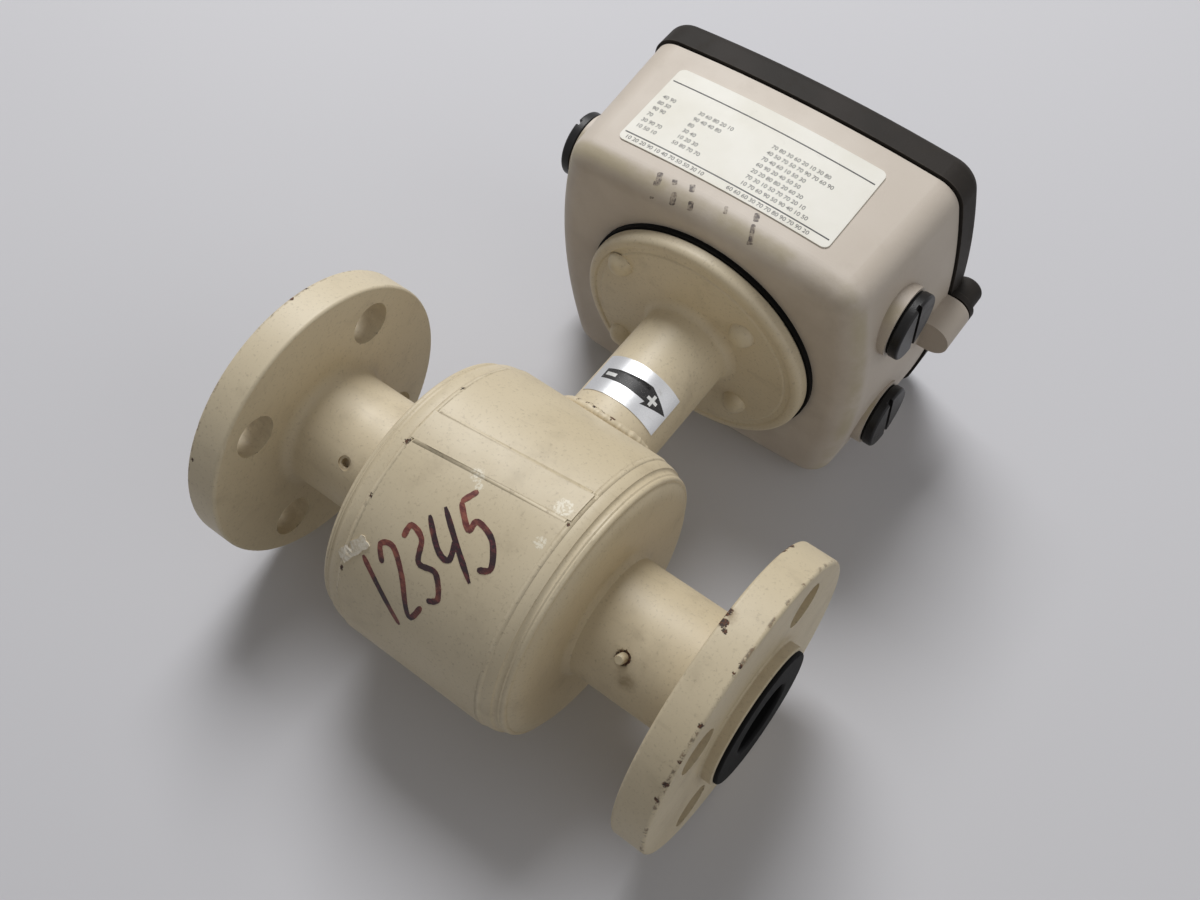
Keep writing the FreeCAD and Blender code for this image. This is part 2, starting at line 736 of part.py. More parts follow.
def disc_screw(x, y):
    """Domed screw from below the disc into a boss of the box."""
    crown = SCREW_HEAD_R * SCREW_HEAD_R / (2 * SCREW_HEAD_H) + SCREW_HEAD_H / 2
    centre = Vector(x, y, DISC_BOTTOM_Z - SCREW_HEAD_H + crown)
    ball = Part.makeSphere(crown, centre)
    crown_z = DISC_BOTTOM_Z - SCREW_HEAD_H
    slab = rod(SCREW_HEAD_R + PAST, Vector(x, y, crown_z - PAST), Vector(x, y, DISC_BOTTOM_Z))
    head = ball.common(slab)
    shank = rod(SCREW_R, Vector(x, y, DISC_BOTTOM_Z - SUNK), Vector(x, y, boss_top_z - BOSS_CAP))
    return fused(head, shank)


# --- terminal box -------------------------------------------------------------------------
def terminal_box():
    """Moulded body of the terminal box, open upwards."""
    outer = drafted_body(
        BOX_HALF_X, BOX_HALF_Y, box_bottom_z, rim_z,
        BOX_DRAFT_X, BOX_DRAFT_Y, BOX_CORNER_R, BOX_BOTTOM_ROUND, 0)
    inner = drafted_body(
        BOX_HALF_X - BOX_WALL, BOX_HALF_Y - BOX_WALL, floor_z, rim_z,
        BOX_DRAFT_X, BOX_DRAFT_Y, BOX_CORNER_R - BOX_WALL, BOX_BOTTOM_ROUND - BOX_WALL, 0)
    added = []
    for side in (1, -1):
        lug = rod(LUG_R, Vector(side * lug_x, 0, rim_z - LUG_H), Vector(side * lug_x, 0, rim_z))
        x_low = min(side * lug_x, side * (BOX_HALF_X - SUNK))
        web = Part.makeBox(lug_x - BOX_HALF_X + SUNK, 2 * LUG_R, LUG_H, Vector(x_low, -LUG_R, rim_z - LUG_H))
        added.extend([lug, web])
    body = outer.fuse(added).cut(inner)
    inside = []
    for name, side, y in entries():
        start = Vector(side * entry_pad_x, y, entry_z)
        end = Vector(side * entry_face_x, y, entry_z)
        inside.append(rod(ENTRY_BOSS_R, start, end))
    for x, y in box_screw_points():
        inside.append(rod(SCREW_R + BOSS_WALL, Vector(x, y, floor_z - SUNK), Vector(x, y, boss_top_z)))
    for x, y in post_points():
        inside.append(rod(POST_R, Vector(x, y, floor_z - SUNK), Vector(x, y, board_z)))
    body = body.fuse(inside).removeSplitter()
    neck = Vector(-BOX_SHIFT_X, -BOX_SHIFT_Y, 0)
    holes = [rod(DISC_BORE_R, neck + Z * (box_bottom_z - PAST), neck + Z * (floor_z + PAST))]
    for name, side, y in entries():
        start = Vector(side * (entry_pad_x - PAST), y, entry_z)
        end = Vector(side * (entry_face_x + PAST), y, entry_z)
        holes.append(rod(PLUG_SHANK_R + PLUG_FIT, start, end))
    for x, y in box_screw_points():
        holes.append(rod(SCREW_R, Vector(x, y, box_bottom_z - PAST), Vector(x, y, boss_top_z - BOSS_CAP)))
    for x, y in post_points():
        low = board_z - BOARD_SCREW_DEPTH
        holes.append(rod(BOARD_SCREW_R, Vector(x, y, low), Vector(x, y, board_z + PAST)))
    for side in (1, -1):
        x = side * lug_x
        low = lid_bottom_z + EAR_H - LID_SCREW_SINK - LID_SCREW_LEN
        holes.append(rod(LID_SCREW_R, Vector(x, 0, low), Vector(x, 0, rim_z + PAST)))
    return body.cut(holes)


def seal_space():
    """Gap between the rim of the box and the lid, outside the locating lip."""
    outer = drafted_body(BOX_HALF_X, BOX_HALF_Y, rim_z, lid_bottom_z, 0, 0, BOX_CORNER_R, 0, 0)
    inner = drafted_body(
        BOX_HALF_X - BOX_WALL, BOX_HALF_Y - BOX_WALL, rim_z, lid_bottom_z,
        0, 0, BOX_CORNER_R - BOX_WALL, 0, 0)
    return outer.cut(inner)


def lid_gasket():
    """Thin seal between the rim of the box and the lid, set back a little from the outside."""
    outer = drafted_body(
        BOX_HALF_X - SEAL_INSET, BOX_HALF_Y - SEAL_INSET, rim_z, lid_bottom_z,
        0, 0, BOX_CORNER_R - SEAL_INSET, 0, 0)
    return outer.common(seal_space())


def box_lid():
    """Moulded lid with its rounded top edge, locating lip and two screw ears."""
    wide = BOX_HALF_X + LID_OVERHANG
    deep = BOX_HALF_Y + LID_OVERHANG
    outer = drafted_body(wide, deep, lid_bottom_z, lid_top_z, 0, 0, BOX_CORNER_R + LID_OVERHANG, 0, LID_ROUND)
    wall = BOX_WALL + LID_OVERHANG
    hollow = drafted_body(
        wide - wall, deep - wall, lid_bottom_z, lid_top_z - LID_TOP_T, 0, 0, BOX_CORNER_R - BOX_WALL, 0, 0)
    lip_low = rim_z - LID_LIP_H
    lip_x = BOX_HALF_X - BOX_WALL - LID_LIP_FIT
    lip_y = BOX_HALF_Y - BOX_WALL - LID_LIP_FIT
    lip_r = BOX_CORNER_R - BOX_WALL
    bridge_z = lid_bottom_z + BRIDGE_H
    lip = drafted_body(lip_x, lip_y, lip_low, bridge_z, 0, 0, lip_r, 0, 0)
    lip = lip.cut(drafted_body(
        lip_x - LID_LIP_T, lip_y - LID_LIP_T, lip_low, bridge_z, 0, 0, lip_r - LID_LIP_T, 0, 0))
    bridge = drafted_body(
        wide - wall + SUNK, deep - wall + SUNK, lid_bottom_z, bridge_z, 0, 0, lip_r + SUNK, 0, 0)
    bridge = bridge.cut(drafted_body(
        lip_x - LID_LIP_T, lip_y - LID_LIP_T, lid_bottom_z, bridge_z, 0, 0, lip_r - LID_LIP_T, 0, 0))
    ears = []
    for side in (1, -1):
        ear = rod(EAR_R, Vector(side * lug_x, 0, lid_bottom_z), Vector(side * lug_x, 0, lid_bottom_z + EAR_H))
        top = [e for e in ear.Edges if e.Closed and e.BoundBox.ZMin > lid_bottom_z + NEAR]
        ear = ear.makeFillet(EAR_ROUND, top)
        x_low = min(side * lug_x, side * (BOX_HALF_X - SUNK))
        web = Part.makeBox(
            lug_x - BOX_HALF_X + SUNK, 2 * EAR_R, EAR_H - EAR_ROUND, Vector(x_low, -EAR_R, lid_bottom_z))
        ring_top = Vector(side * lug_x, 0, lid_bottom_z + EAR_RING_H)
        foot = rod(LUG_R, Vector(side * lug_x, 0, lid_bottom_z), ring_top)
        spigot = rod(EAR_SPIGOT_R, Vector(side * lug_x, 0, rim_z), ring_top)
        ears.extend([ear, web, foot, spigot])
    body = outer.fuse(ears).cut(hollow)
    body = fused(body, lip, bridge).cut(seal_space())
    holes = []
    for side in (1, -1):
        x = side * lug_x
        top = lid_bottom_z + EAR_H
        holes.append(rod(LID_SCREW_R + SCREW_CLEARANCE, Vector(x, 0, rim_z - PAST), Vector(x, 0, top + PAST)))
        holes.append(rod(LID_SCREW_HEAD_R + SCREW_CLEARANCE, Vector(x, 0, top - LID_SCREW_SINK),
                         Vector(x, 0, top + PAST)))
    return body.cut(holes)


def lid_screw(side):
    """Captive lid screw with a slotted head sunk in its ear."""
    x = side * lug_x
    seat = lid_bottom_z + EAR_H - LID_SCREW_SINK
    head = rod(LID_SCREW_HEAD_R, Vector(x, 0, seat), Vector(x, 0, seat + LID_SCREW_HEAD_H))
    shank = rod(LID_SCREW_R, Vector(x, 0, seat - LID_SCREW_LEN), Vector(x, 0, seat + SUNK))
    slot = Part.makeBox(
        4 * LID_SCREW_HEAD_R, LID_SLOT_W, LID_SLOT_D + PAST,
        Vector(x - 2 * LID_SCREW_HEAD_R, -LID_SLOT_W / 2, seat + LID_SCREW_HEAD_H - LID_SLOT_D))
    return fused(head, shank).cut(slot)


# --- cable entries ------------------------------------------------------------------------
def blanking_plug(side, y):
    """Slotted plug that closes a cable entry, with its threaded shank."""
    nut_x = entry_pad_x - NUT_T
    profile = [
        (nut_x - SHANK_PAST_NUT, 0, 0),
        (nut_x - SHANK_PAST_NUT, PLUG_SHANK_R, SHANK_ROUND),
        (plug_x, PLUG_SHANK_R, 0),
        (plug_x, PLUG_R, PLUG_FOOT_ROUND),
        (plug_x + PLUG_HEAD_T, PLUG_R, PLUG_FACE_ROUND),
        (plug_x + PLUG_HEAD_T, 0, 0),
    ]
    body = turned_x(profile)
    slot = Part.makeBox(
        PLUG_SLOT_D + PAST, 4 * PLUG_R, PLUG_SLOT_W,
        Vector(plug_x + PLUG_HEAD_T - PLUG_SLOT_D, -2 * PLUG_R, -PLUG_SLOT_W / 2))
    slot.rotate(ORIGIN, X, PLUG_SLOT_TURN)
    body = body.cut(slot)
    if side < 0:
        body = mirrored_x(body)
    body.translate(Vector(0, y, entry_z))
    return body


def plug_seal(side, y):
    """Flat washer under the head of a plug."""
    start = Vector(side * entry_face_x, y, entry_z)
    end = Vector(side * plug_x, y, entry_z)
    return ring(SEAL_R, PLUG_SHANK_R, start, end)


def plug_nut(side, y):
    """Hexagonal lock nut on the inside of a cable entry."""
    start = Vector(side * entry_pad_x, y, entry_z)
    way = X * -side
    body = hexagon(NUT_FLATS, start, way, NUT_T)
    return body.cut(rod(PLUG_SHANK_R, start - way * PAST, start + way * (NUT_T + PAST)))


# --- inside the terminal box --------------------------------------------------------------
def lead_bushing():
    """Moulded bushing that leads the wires from the neck into the box."""
    low_z = DISC_BOTTOM_Z + BUSHING_RISE
    profile = [
        (BUSHING_BORE_R, low_z, BUSHING_ROUND),
        (DISC_BORE_R, low_z, BUSHING_LOW_ROUND),
        (DISC_BORE_R, floor_z, 0),
        (BUSHING_R, floor_z, 0),
        (BUSHING_R, floor_z + BUSHING_FLANGE_T, BUSHING_ROUND),
        (BUSHING_BORE_R, floor_z + BUSHING_FLANGE_T, BUSHING_ROUND),
    ]
    return turned_z(profile)


def connection_board():
    """Circuit board that carries the terminals, on the four posts."""
    plate = Part.makeBox(
        2 * board_half_x, 2 * board_half_y, BOARD_T, Vector(-board_half_x, -board_half_y, board_z))
    upright = [e for e in plate.Edges if e.BoundBox.ZLength > BOARD_T / 2]
    plate = plate.makeFillet(BOARD_CORNER_R, upright)
    neck = Vector(-BOX_SHIFT_X, -BOX_SHIFT_Y, 0)
    holes = [rod(LEAD_HOLE_R, neck + Z * (board_z - PAST), neck + Z * (board_top_z + PAST))]
    for x, y in post_points():
        hole_r = BOARD_SCREW_R + SCREW_CLEARANCE
        holes.append(rod(hole_r, Vector(x, y, board_z - PAST), Vector(x, y, board_top_z + PAST)))
    return plate.cut(holes)


def board_screw(x, y):
    """Pan-head screw from the board into a post."""
    head_top_z = board_top_z + BOARD_SCREW_HEAD_H
    head = rod(BOARD_SCREW_HEAD_R, Vector(x, y, board_top_z), Vector(x, y, head_top_z))
    shank = rod(BOARD_SCREW_R, Vector(x, y, board_z - BOARD_SCREW_DEPTH), Vector(x, y, board_top_z + SUNK))
    return fused(head, shank)


def terminal_block(side):
    """Row of screw terminals, with a wire mouth and a screw well for each way."""
    y = side * BLOCK_Y
    start = Vector(-BLOCK_LEN / 2, y - BLOCK_W / 2, board_top_z)
    body = Part.makeBox(BLOCK_LEN, BLOCK_W, BLOCK_H, start)
    high = board_top_z + BLOCK_H
    top = [e for e in body.Edges if e.BoundBox.ZMin > high - NEAR and e.BoundBox.YLength < NEAR]
    body = body.makeChamfer(BLOCK_BEVEL, top)
    pitch = BLOCK_LEN / BLOCK_WAYS
    holes = []
    for k in range(BLOCK_WAYS):
        x = -BLOCK_LEN / 2 + pitch * (k + 0.5)
        holes.append(rod(WELL_R, Vector(x, y, high - WELL_D), Vector(x, y, high + PAST)))
        mouth_w = MOUTH_SHARE * pitch
        corner = Vector(x - mouth_w / 2, y + side * BLOCK_W / 2 - MOUTH_D, board_top_z + MOUTH_RISE)
        holes.append(Part.makeBox(mouth_w, 2 * MOUTH_D, MOUTH_H, corner))
    return body.cut(holes)


def memory_module():
    """Small plug-in calibration store on the board."""
    start = Vector(-MODULE_X / 2, -MODULE_Y / 2, board_top_z)
    body = Part.makeBox(MODULE_X, MODULE_Y, MODULE_H, start)
    edges = [e for e in body.Edges if e.BoundBox.ZMax > board_top_z + NEAR]
    body = body.makeFillet(MODULE_ROUND, edges)
    body.translate(Vector(board_half_x - MODULE_X / 2 - MODULE_INSET, 0, 0))
    return body


# --- labels -------------------------------------------------------------------------------
def front_label():
    """Bare plate that follows the bowed and drafted front of the box."""
    left = LABEL_X - LABEL_W / 2
    right = LABEL_X + LABEL_W / 2
    high = rim_z - LABEL_DROP
    low = high - LABEL_H
    corner = LABEL_CORNER_R
    points = [(left, low, corner), (right, low, corner), (right, high, corner), (left, high, corner)]
    wire = rounded_wire(points, lambda v: Vector(v.x, 0, v.y))
    plate = Part.Face(wire).extrude(Y * -2 * BOX_HALF_Y)
    skin = drafted_body(
        BOX_HALF_X, BOX_HALF_Y + LABEL_T, box_bottom_z, rim_z,
        BOX_DRAFT_X, BOX_DRAFT_Y, BOX_CORNER_R, 0, 0)
    body = drafted_body(
        BOX_HALF_X, BOX_HALF_Y, box_bottom_z, rim_z,
        BOX_DRAFT_X, BOX_DRAFT_Y, BOX_CORNER_R, 0, 0)
    return plate.common(skin).cut(body)


def flow_label():
    """Metal foil band round the neck that carries the flow arrow."""
    band = Part.makeCylinder(NECK_R + FOIL_T, FOIL_H, Z * foil_low_z, Z, FOIL_TO - FOIL_FROM)
    band.rotate(ORIGIN, Z, FOIL_FROM)
    return band.cut(rod(NECK_R, ORIGIN, Z * DISC_BOTTOM_Z))


# --- assembly -----------------------------------------------------------------------------
def pieces():
    """Every piece of the meter by name."""
    made = {}
    outlet = flange()
    made["flange_outlet"] = outlet.cut(pin_hole())
    made["flange_inlet"] = mirrored_x(outlet.cut(pin_hole()))
    made["earthing_pin"] = earthing_pin()
    made["measuring_tube"] = measuring_tube()
    made["liner"] = liner()
    for name, side in electrode_sides():
        made["electrode_" + name] = electrode(side)
    sides = [side for name, side in electrode_sides()]
    made["electrode_bushes"] = Part.makeCompound([electrode_bush(side) for side in sides])
    made["electrode_springs"] = Part.makeCompound([electrode_spring(side) for side in sides])
    made["electrode_nuts"] = Part.makeCompound([electrode_nut(side) for side in sides])
    made["pole_piece_upper"] = pole_piece()
    made["pole_piece_lower"] = turned_over(pole_piece())
    made["coil_bobbin_upper"] = coil_bobbin()
    made["coil_bobbin_lower"] = turned_over(coil_bobbin())
    made["coil_upper"] = coil()
    made["coil_lower"] = turned_over(coil())
    made["magnetic_yoke"] = magnetic_yoke()
    made["housing_shell"] = housing_shell()
    made["housing_end_outlet"] = housing_end()
    made["housing_end_inlet"] = mirrored_x(housing_end())
    made["neck_tube"] = neck_tube()
    made["mounting_disc"] = mounting_disc()
    made["disc_gasket"] = disc_gasket()
    made["disc_screws"] = Part.makeCompound([disc_screw(x, y) for x, y in disc_screw_points()])
    made["terminal_box"] = on_box(terminal_box())
    made["lid_gasket"] = on_box(lid_gasket())
    made["box_lid"] = on_box(box_lid())
    made["lid_screws"] = on_box(Part.makeCompound([lid_screw(1), lid_screw(-1)]))
    for name, side, y in entries():
        made["plug_" + name] = on_box(blanking_plug(side, y))
    seals = [plug_seal(side, y) for name, side, y in entries()]
    nuts = [plug_nut(side, y) for name, side, y in entries()]
    made["plug_seals"] = on_box(Part.makeCompound(seals))
    made["plug_nuts"] = on_box(Part.makeCompound(nuts))
    made["lead_bushing"] = lead_bushing()
    made["connection_board"] = on_box(connection_board())
    screws = [board_screw(x, y) for x, y in post_points()]
    made["board_screws"] = on_box(Part.makeCompound(screws))
    made["terminal_block_front"] = on_box(terminal_block(-1))
    made["terminal_block_rear"] = on_box(terminal_block(1))
    made["memory_module"] = on_box(memory_module())
    made["front_label"] = on_box(front_label())
    made["flow_label"] = flow_label()
    return made


def main():
    os.makedirs("parts", exist_ok=True)
    for name, shape in pieces().items():
        solids = shape.Solids
        if not shape.isValid() or not solids:
            raise ValueError(name + " is not a valid solid")
        shape.exportStep(os.path.join("parts", name + ".step"))
        print(name, len(solids), round(sum(s.Volume for s in solids) / 1000, 3))


main()
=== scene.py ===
"""Looks of an electromagnetic flow meter, lying on its back on a pale floor.

The frame is the CAD model's own: +X is the direction of flow, +Z runs up the neck to the
terminal box, and the labelled face of the box looks along -Y. Blender works in metres;
sizes and places are written in millimetres and multiplied by MM.
"""

import json
import math
import random

import bmesh
import bpy
from mathutils import Matrix, Vector
from mathutils.bvhtree import BVHTree


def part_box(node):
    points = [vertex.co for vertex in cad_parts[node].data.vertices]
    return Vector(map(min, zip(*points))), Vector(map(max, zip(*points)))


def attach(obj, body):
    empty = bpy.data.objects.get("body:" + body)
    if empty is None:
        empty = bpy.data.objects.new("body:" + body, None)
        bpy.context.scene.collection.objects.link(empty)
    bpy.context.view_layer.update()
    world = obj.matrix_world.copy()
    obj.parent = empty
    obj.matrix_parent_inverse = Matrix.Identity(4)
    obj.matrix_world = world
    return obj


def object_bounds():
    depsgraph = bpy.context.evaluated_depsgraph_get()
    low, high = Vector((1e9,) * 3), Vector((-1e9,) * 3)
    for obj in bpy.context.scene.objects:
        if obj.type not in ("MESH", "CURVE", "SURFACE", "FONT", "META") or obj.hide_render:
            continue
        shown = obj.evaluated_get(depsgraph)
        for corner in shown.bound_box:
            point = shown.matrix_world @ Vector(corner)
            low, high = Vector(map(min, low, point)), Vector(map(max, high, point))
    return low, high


MM = 0.001

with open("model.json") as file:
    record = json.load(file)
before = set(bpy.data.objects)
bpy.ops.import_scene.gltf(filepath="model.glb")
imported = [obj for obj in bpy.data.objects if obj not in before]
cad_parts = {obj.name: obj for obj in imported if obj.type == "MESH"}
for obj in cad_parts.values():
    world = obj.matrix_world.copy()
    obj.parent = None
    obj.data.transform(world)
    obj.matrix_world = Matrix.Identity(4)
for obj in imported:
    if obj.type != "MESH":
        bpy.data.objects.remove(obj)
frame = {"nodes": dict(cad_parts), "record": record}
nodes = frame["nodes"]
cad_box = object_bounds()

# --- places read from the frame, in millimetres ---------------------------------------------


def box_mm(node):
    """Lowest and highest corner of a CAD node, in millimetres."""
    low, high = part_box(node)
    return low / MM, high / MM


RIM_R = box_mm("flange_outlet")[1].y
DRUM_R = box_mm("housing_shell")[1].y
FOIL_R = -box_mm("flow_label")[0].y
BOX_FRONT = box_mm("terminal_box")[0].y
LABEL_LOW, LABEL_HIGH = box_mm("front_label")

# --- view, floor and lamps ------------------------------------------------------------------
CAMERA_AT = Vector((149.6, -403.6, -134.2)) * MM
CAMERA_RIGHT = Vector((0.7977, 0.0214, 0.6026))
CAMERA_DOWN = Vector((0.5129, 0.5014, -0.6968))
LENS_MM = 40.4
SENSOR_MM = 36.0
FLOOR_HALF = 2.5                       # metres
FLOOR_PASSES = 0.80                    # share of the bounced light that goes through the floor
LAMP_DISTANCE = 1.5                    # metres, from the middle of the meter
KEY_TOWARD = Vector((-0.45, -1.0, 0.60))
KEY_LEVEL = 0.80                       # brightness that the lamp gives a white surface
KEY_SIZE = 0.70                        # metres
FILL_TOWARD = Vector((1.0, -0.50, 0.0))
FILL_LEVEL = 0.17
FILL_SIZE = 1.4
WORLD_LEVEL = 0.21
WORLD_COLOUR = (1.0, 0.975, 0.94, 1.0)
BACKDROP_COLOUR = (0.97, 0.97, 1.0, 1.0)
BACKDROP_LEVEL = 0.60

# --- places of wear, in millimetres ---------------------------------------------------------
RIM_FRONT = 93.6                       # x of a flange rim's outer edge
RIM_REAR = 81.3                        # and of its edge towards the drum
HOLE_X = 87.5                          # x of the middle of a bolt hole
HOLE_OUT = 39.7                        # and its distance from the pipe's axis
HUB_R = 22.0
PIN_X = 57.5
PIN_ANGLE = -139                       # degrees about +X from +Y
WELD_R = 19.4                          # from the neck's axis

# --- procedural finishes --------------------------------------------------------------------


def shade(red, green, blue):
    """Linear colour of three display values from 0 to 255."""
    linear = [((c / 255 + 0.055) / 1.055) ** 2.4 for c in (red, green, blue)]
    return (*linear, 1.0)


class Finish:
    """One procedural material. Its textures run in the frame's own space.
    Each method adds nodes, and gives the output that holds their result."""

    def __init__(self, name):
        """Empty material with a shader joined to its output."""
        self.material = bpy.data.materials.new(name)
        self.material.use_nodes = True
        self.tree = self.material.node_tree
        self.tree.nodes.clear()
        self.shader = self.tree.nodes.new("ShaderNodeBsdfPrincipled")
        self.output = self.tree.nodes.new("ShaderNodeOutputMaterial")
        self.link(self.output.inputs["Surface"], self.shader.outputs["BSDF"])
        self.place = self.tree.nodes.new("ShaderNodeTexCoord").outputs["Object"]

    def link(self, socket, value):
        """Joins an output to the socket, or sets the socket to a plain value."""
        if isinstance(value, bpy.types.NodeSocket):
            self.tree.links.new(value, socket)
        else:
            socket.default_value = value

    def math(self, operation, first, second=0.0):
        """Number worked out from one or two others."""
        node = self.tree.nodes.new("ShaderNodeMath")
        node.operation = operation
        self.link(node.inputs[0], first)
        self.link(node.inputs[1], second)
        return node.outputs[0]

    def vector(self, operation, first, second, output="Vector"):
        """Vector, or with output="Value" a number, worked out from two vectors."""
        node = self.tree.nodes.new("ShaderNodeVectorMath")
        node.operation = operation
        self.link(node.inputs[0], first)
        self.link(node.inputs[1], second)
        return node.outputs[output]

    def times(self, first, second):
        """Product of two numbers."""
        return self.math("MULTIPLY", first, second)

    def plus(self, first, second):
        """Sum of two numbers."""
        return self.math("ADD", first, second)

    def noise(self, grain, detail=3.0, rough=0.5, stretch=(1, 1, 1), away=0.0, output="Fac"):
        """Noise from 0 to 1 whose blobs are about grain millimetres wide.
        It is squeezed along each axis by stretch, and away shifts it to a fresh place."""
        node = self.tree.nodes.new("ShaderNodeTexNoise")
        place = self.vector("MULTIPLY", self.place, stretch)
        place = self.vector("ADD", place, (away, -away, away))
        self.link(node.inputs["Vector"], place)
        node.inputs["Scale"].default_value = 1 / (grain * MM)
        node.inputs["Detail"].default_value = detail
        node.inputs["Roughness"].default_value = rough
        return node.outputs[output]

    def band(self, value, low, high):
        """0 at low, 1 at high, smooth between and flat beyond; high may be the smaller one."""
        node = self.tree.nodes.new("ShaderNodeMapRange")
        node.interpolation_type = "SMOOTHSTEP"
        turned = high < low
        self.link(node.inputs["Value"], value)
        node.inputs["From Min"].default_value = min(low, high)
        node.inputs["From Max"].default_value = max(low, high)
        node.inputs["To Min"].default_value = 1.0 if turned else 0.0
        node.inputs["To Max"].default_value = 0.0 if turned else 1.0
        return node.outputs["Result"]

    def mix(self, share, first, second):
        """Colour between first, where share is 0, and second, where it is 1."""
        node = self.tree.nodes.new("ShaderNodeMix")
        node.data_type = "RGBA"
        sockets = {s.identifier: s for s in node.inputs}
        self.link(sockets["Factor_Float"], share)
        self.link(sockets["A_Color"], first)
        self.link(sockets["B_Color"], second)
        return next(s for s in node.outputs if s.identifier == "Result_Color")

    def edges(self, radius):
        """1 on edges and in creases, over about radius millimetres."""
        bevel = self.tree.nodes.new("ShaderNodeBevel")
        bevel.samples = 3
        bevel.inputs["Radius"].default_value = radius * MM
        flat = self.tree.nodes.new("ShaderNodeNewGeometry").outputs["Normal"]
        agree = self.vector("DOT_PRODUCT", bevel.outputs["Normal"], flat, "Value")
        return self.band(agree, 0.99, 0.86)

    def corners(self, reach, start=0.75, full=0.25):
        """1 deep in the piece's own corners and gaps, over about reach millimetres."""
        node = self.tree.nodes.new("ShaderNodeAmbientOcclusion")
        node.samples = 3
        node.only_local = True
        node.inputs["Distance"].default_value = reach * MM
        return self.band(node.outputs["AO"], start, full)

    def facing(self, direction, start, full):
        """0 to 1 as the cosine between the surface's normal and a direction goes from start
        to full."""
        normal = self.tree.nodes.new("ShaderNodeTexCoord").outputs["Normal"]
        return self.band(self.vector("DOT_PRODUCT", normal, direction, "Value"), start, full)

    def spots(self, places, ragged, grain=1.2, soft=0.25):
        """1 inside spots, each given as x, y, z and radius in millimetres. Their edges are
        ragged by so many millimetres, over blobs of the grain, and soft by a share of the radius."""
        wobble = self.noise(grain, 5, 0.65, output="Color")
        wobble = self.vector("SUBTRACT", wobble, (0.5, 0.5, 0.5))
        wobble = self.vector("MULTIPLY", wobble, (ragged * MM,) * 3)
        warped = self.vector("ADD", self.place, wobble)
        found = 0.0
        for x, y, z, radius in places:
            middle = (x * MM, y * MM, z * MM)
            away = self.vector("DISTANCE", warped, middle, "Value")
            inner = (1 - soft) * radius
            found = self.math("MAXIMUM", found, self.band(away, radius * MM, inner * MM))
        return found

    def circle(self, x, radius, reach):
        """1 on a circle about the X axis, fading over reach millimetres."""
        across = self.vector("MULTIPLY", self.place, (0, 1, 1))
        out = self.vector("LENGTH", across, (0, 0, 0), "Value")
        off = self.math("SUBTRACT", out, radius * MM)
        along = self.vector("DOT_PRODUCT", self.place, (1, 0, 0), "Value")
        along = self.math("SUBTRACT", along, x * MM)
        squared = self.plus(self.times(off, off), self.times(along, along))
        return self.band(self.math("POWER", squared, 0.5), reach * MM, 0.3 * reach * MM)

    def look(self, colour, roughness, height=None, depth=0.05, metallic=0.0, shine=0.5):
        """Sets colour, roughness, metal, and a bump of depth millimetres where height is 1."""
        self.shader.inputs["Specular IOR Level"].default_value = shine
        self.link(self.shader.inputs["Base Color"], colour)
        self.link(self.shader.inputs["Roughness"], roughness)
        self.link(self.shader.inputs["Metallic"], metallic)
        if height is not None:
            bump = self.tree.nodes.new("ShaderNodeBump")
            bump.inputs["Distance"].default_value = depth * MM
            self.link(bump.inputs["Height"], height)
            self.link(self.shader.inputs["Normal"], bump.outputs["Normal"])
        return self.material


def spot(x, angle, out, radius):
    """Spot at an angle in degrees about +X, from +Y towards +Z, and so far out from the axis."""
    turn = math.radians(angle)
    return x, out * math.cos(turn), out * math.sin(turn), radius


CREAM = shade(215, 202, 175)
CREAM_TONE = shade(206, 192, 163)
DIRT = shade(108, 90, 64)
# Colour of dirt in corners and gaps, which is also painted shade there.
GRIME_AND_SHADE = shade(110, 84, 50)
RUST = shade(96, 58, 34)
DARK_RUST = shade(50, 36, 28)
BARE_EDGE = shade(228, 216, 190)
SCRAPED = shade(238, 232, 214)
STAINS = [
    *[spot(side * HOLE_X, 45 + 90 * turn, HOLE_OUT, 12.0) for side in (-1, 1) for turn in range(4)],
    spot(PIN_X, PIN_ANGLE, HUB_R, 4.6),
    spot(PIN_X + 4, -122, HUB_R, 5.0),
    spot(-PIN_X, PIN_ANGLE, HUB_R, 3.6),
    spot(82.0, 178, RIM_R, 4.0),
]


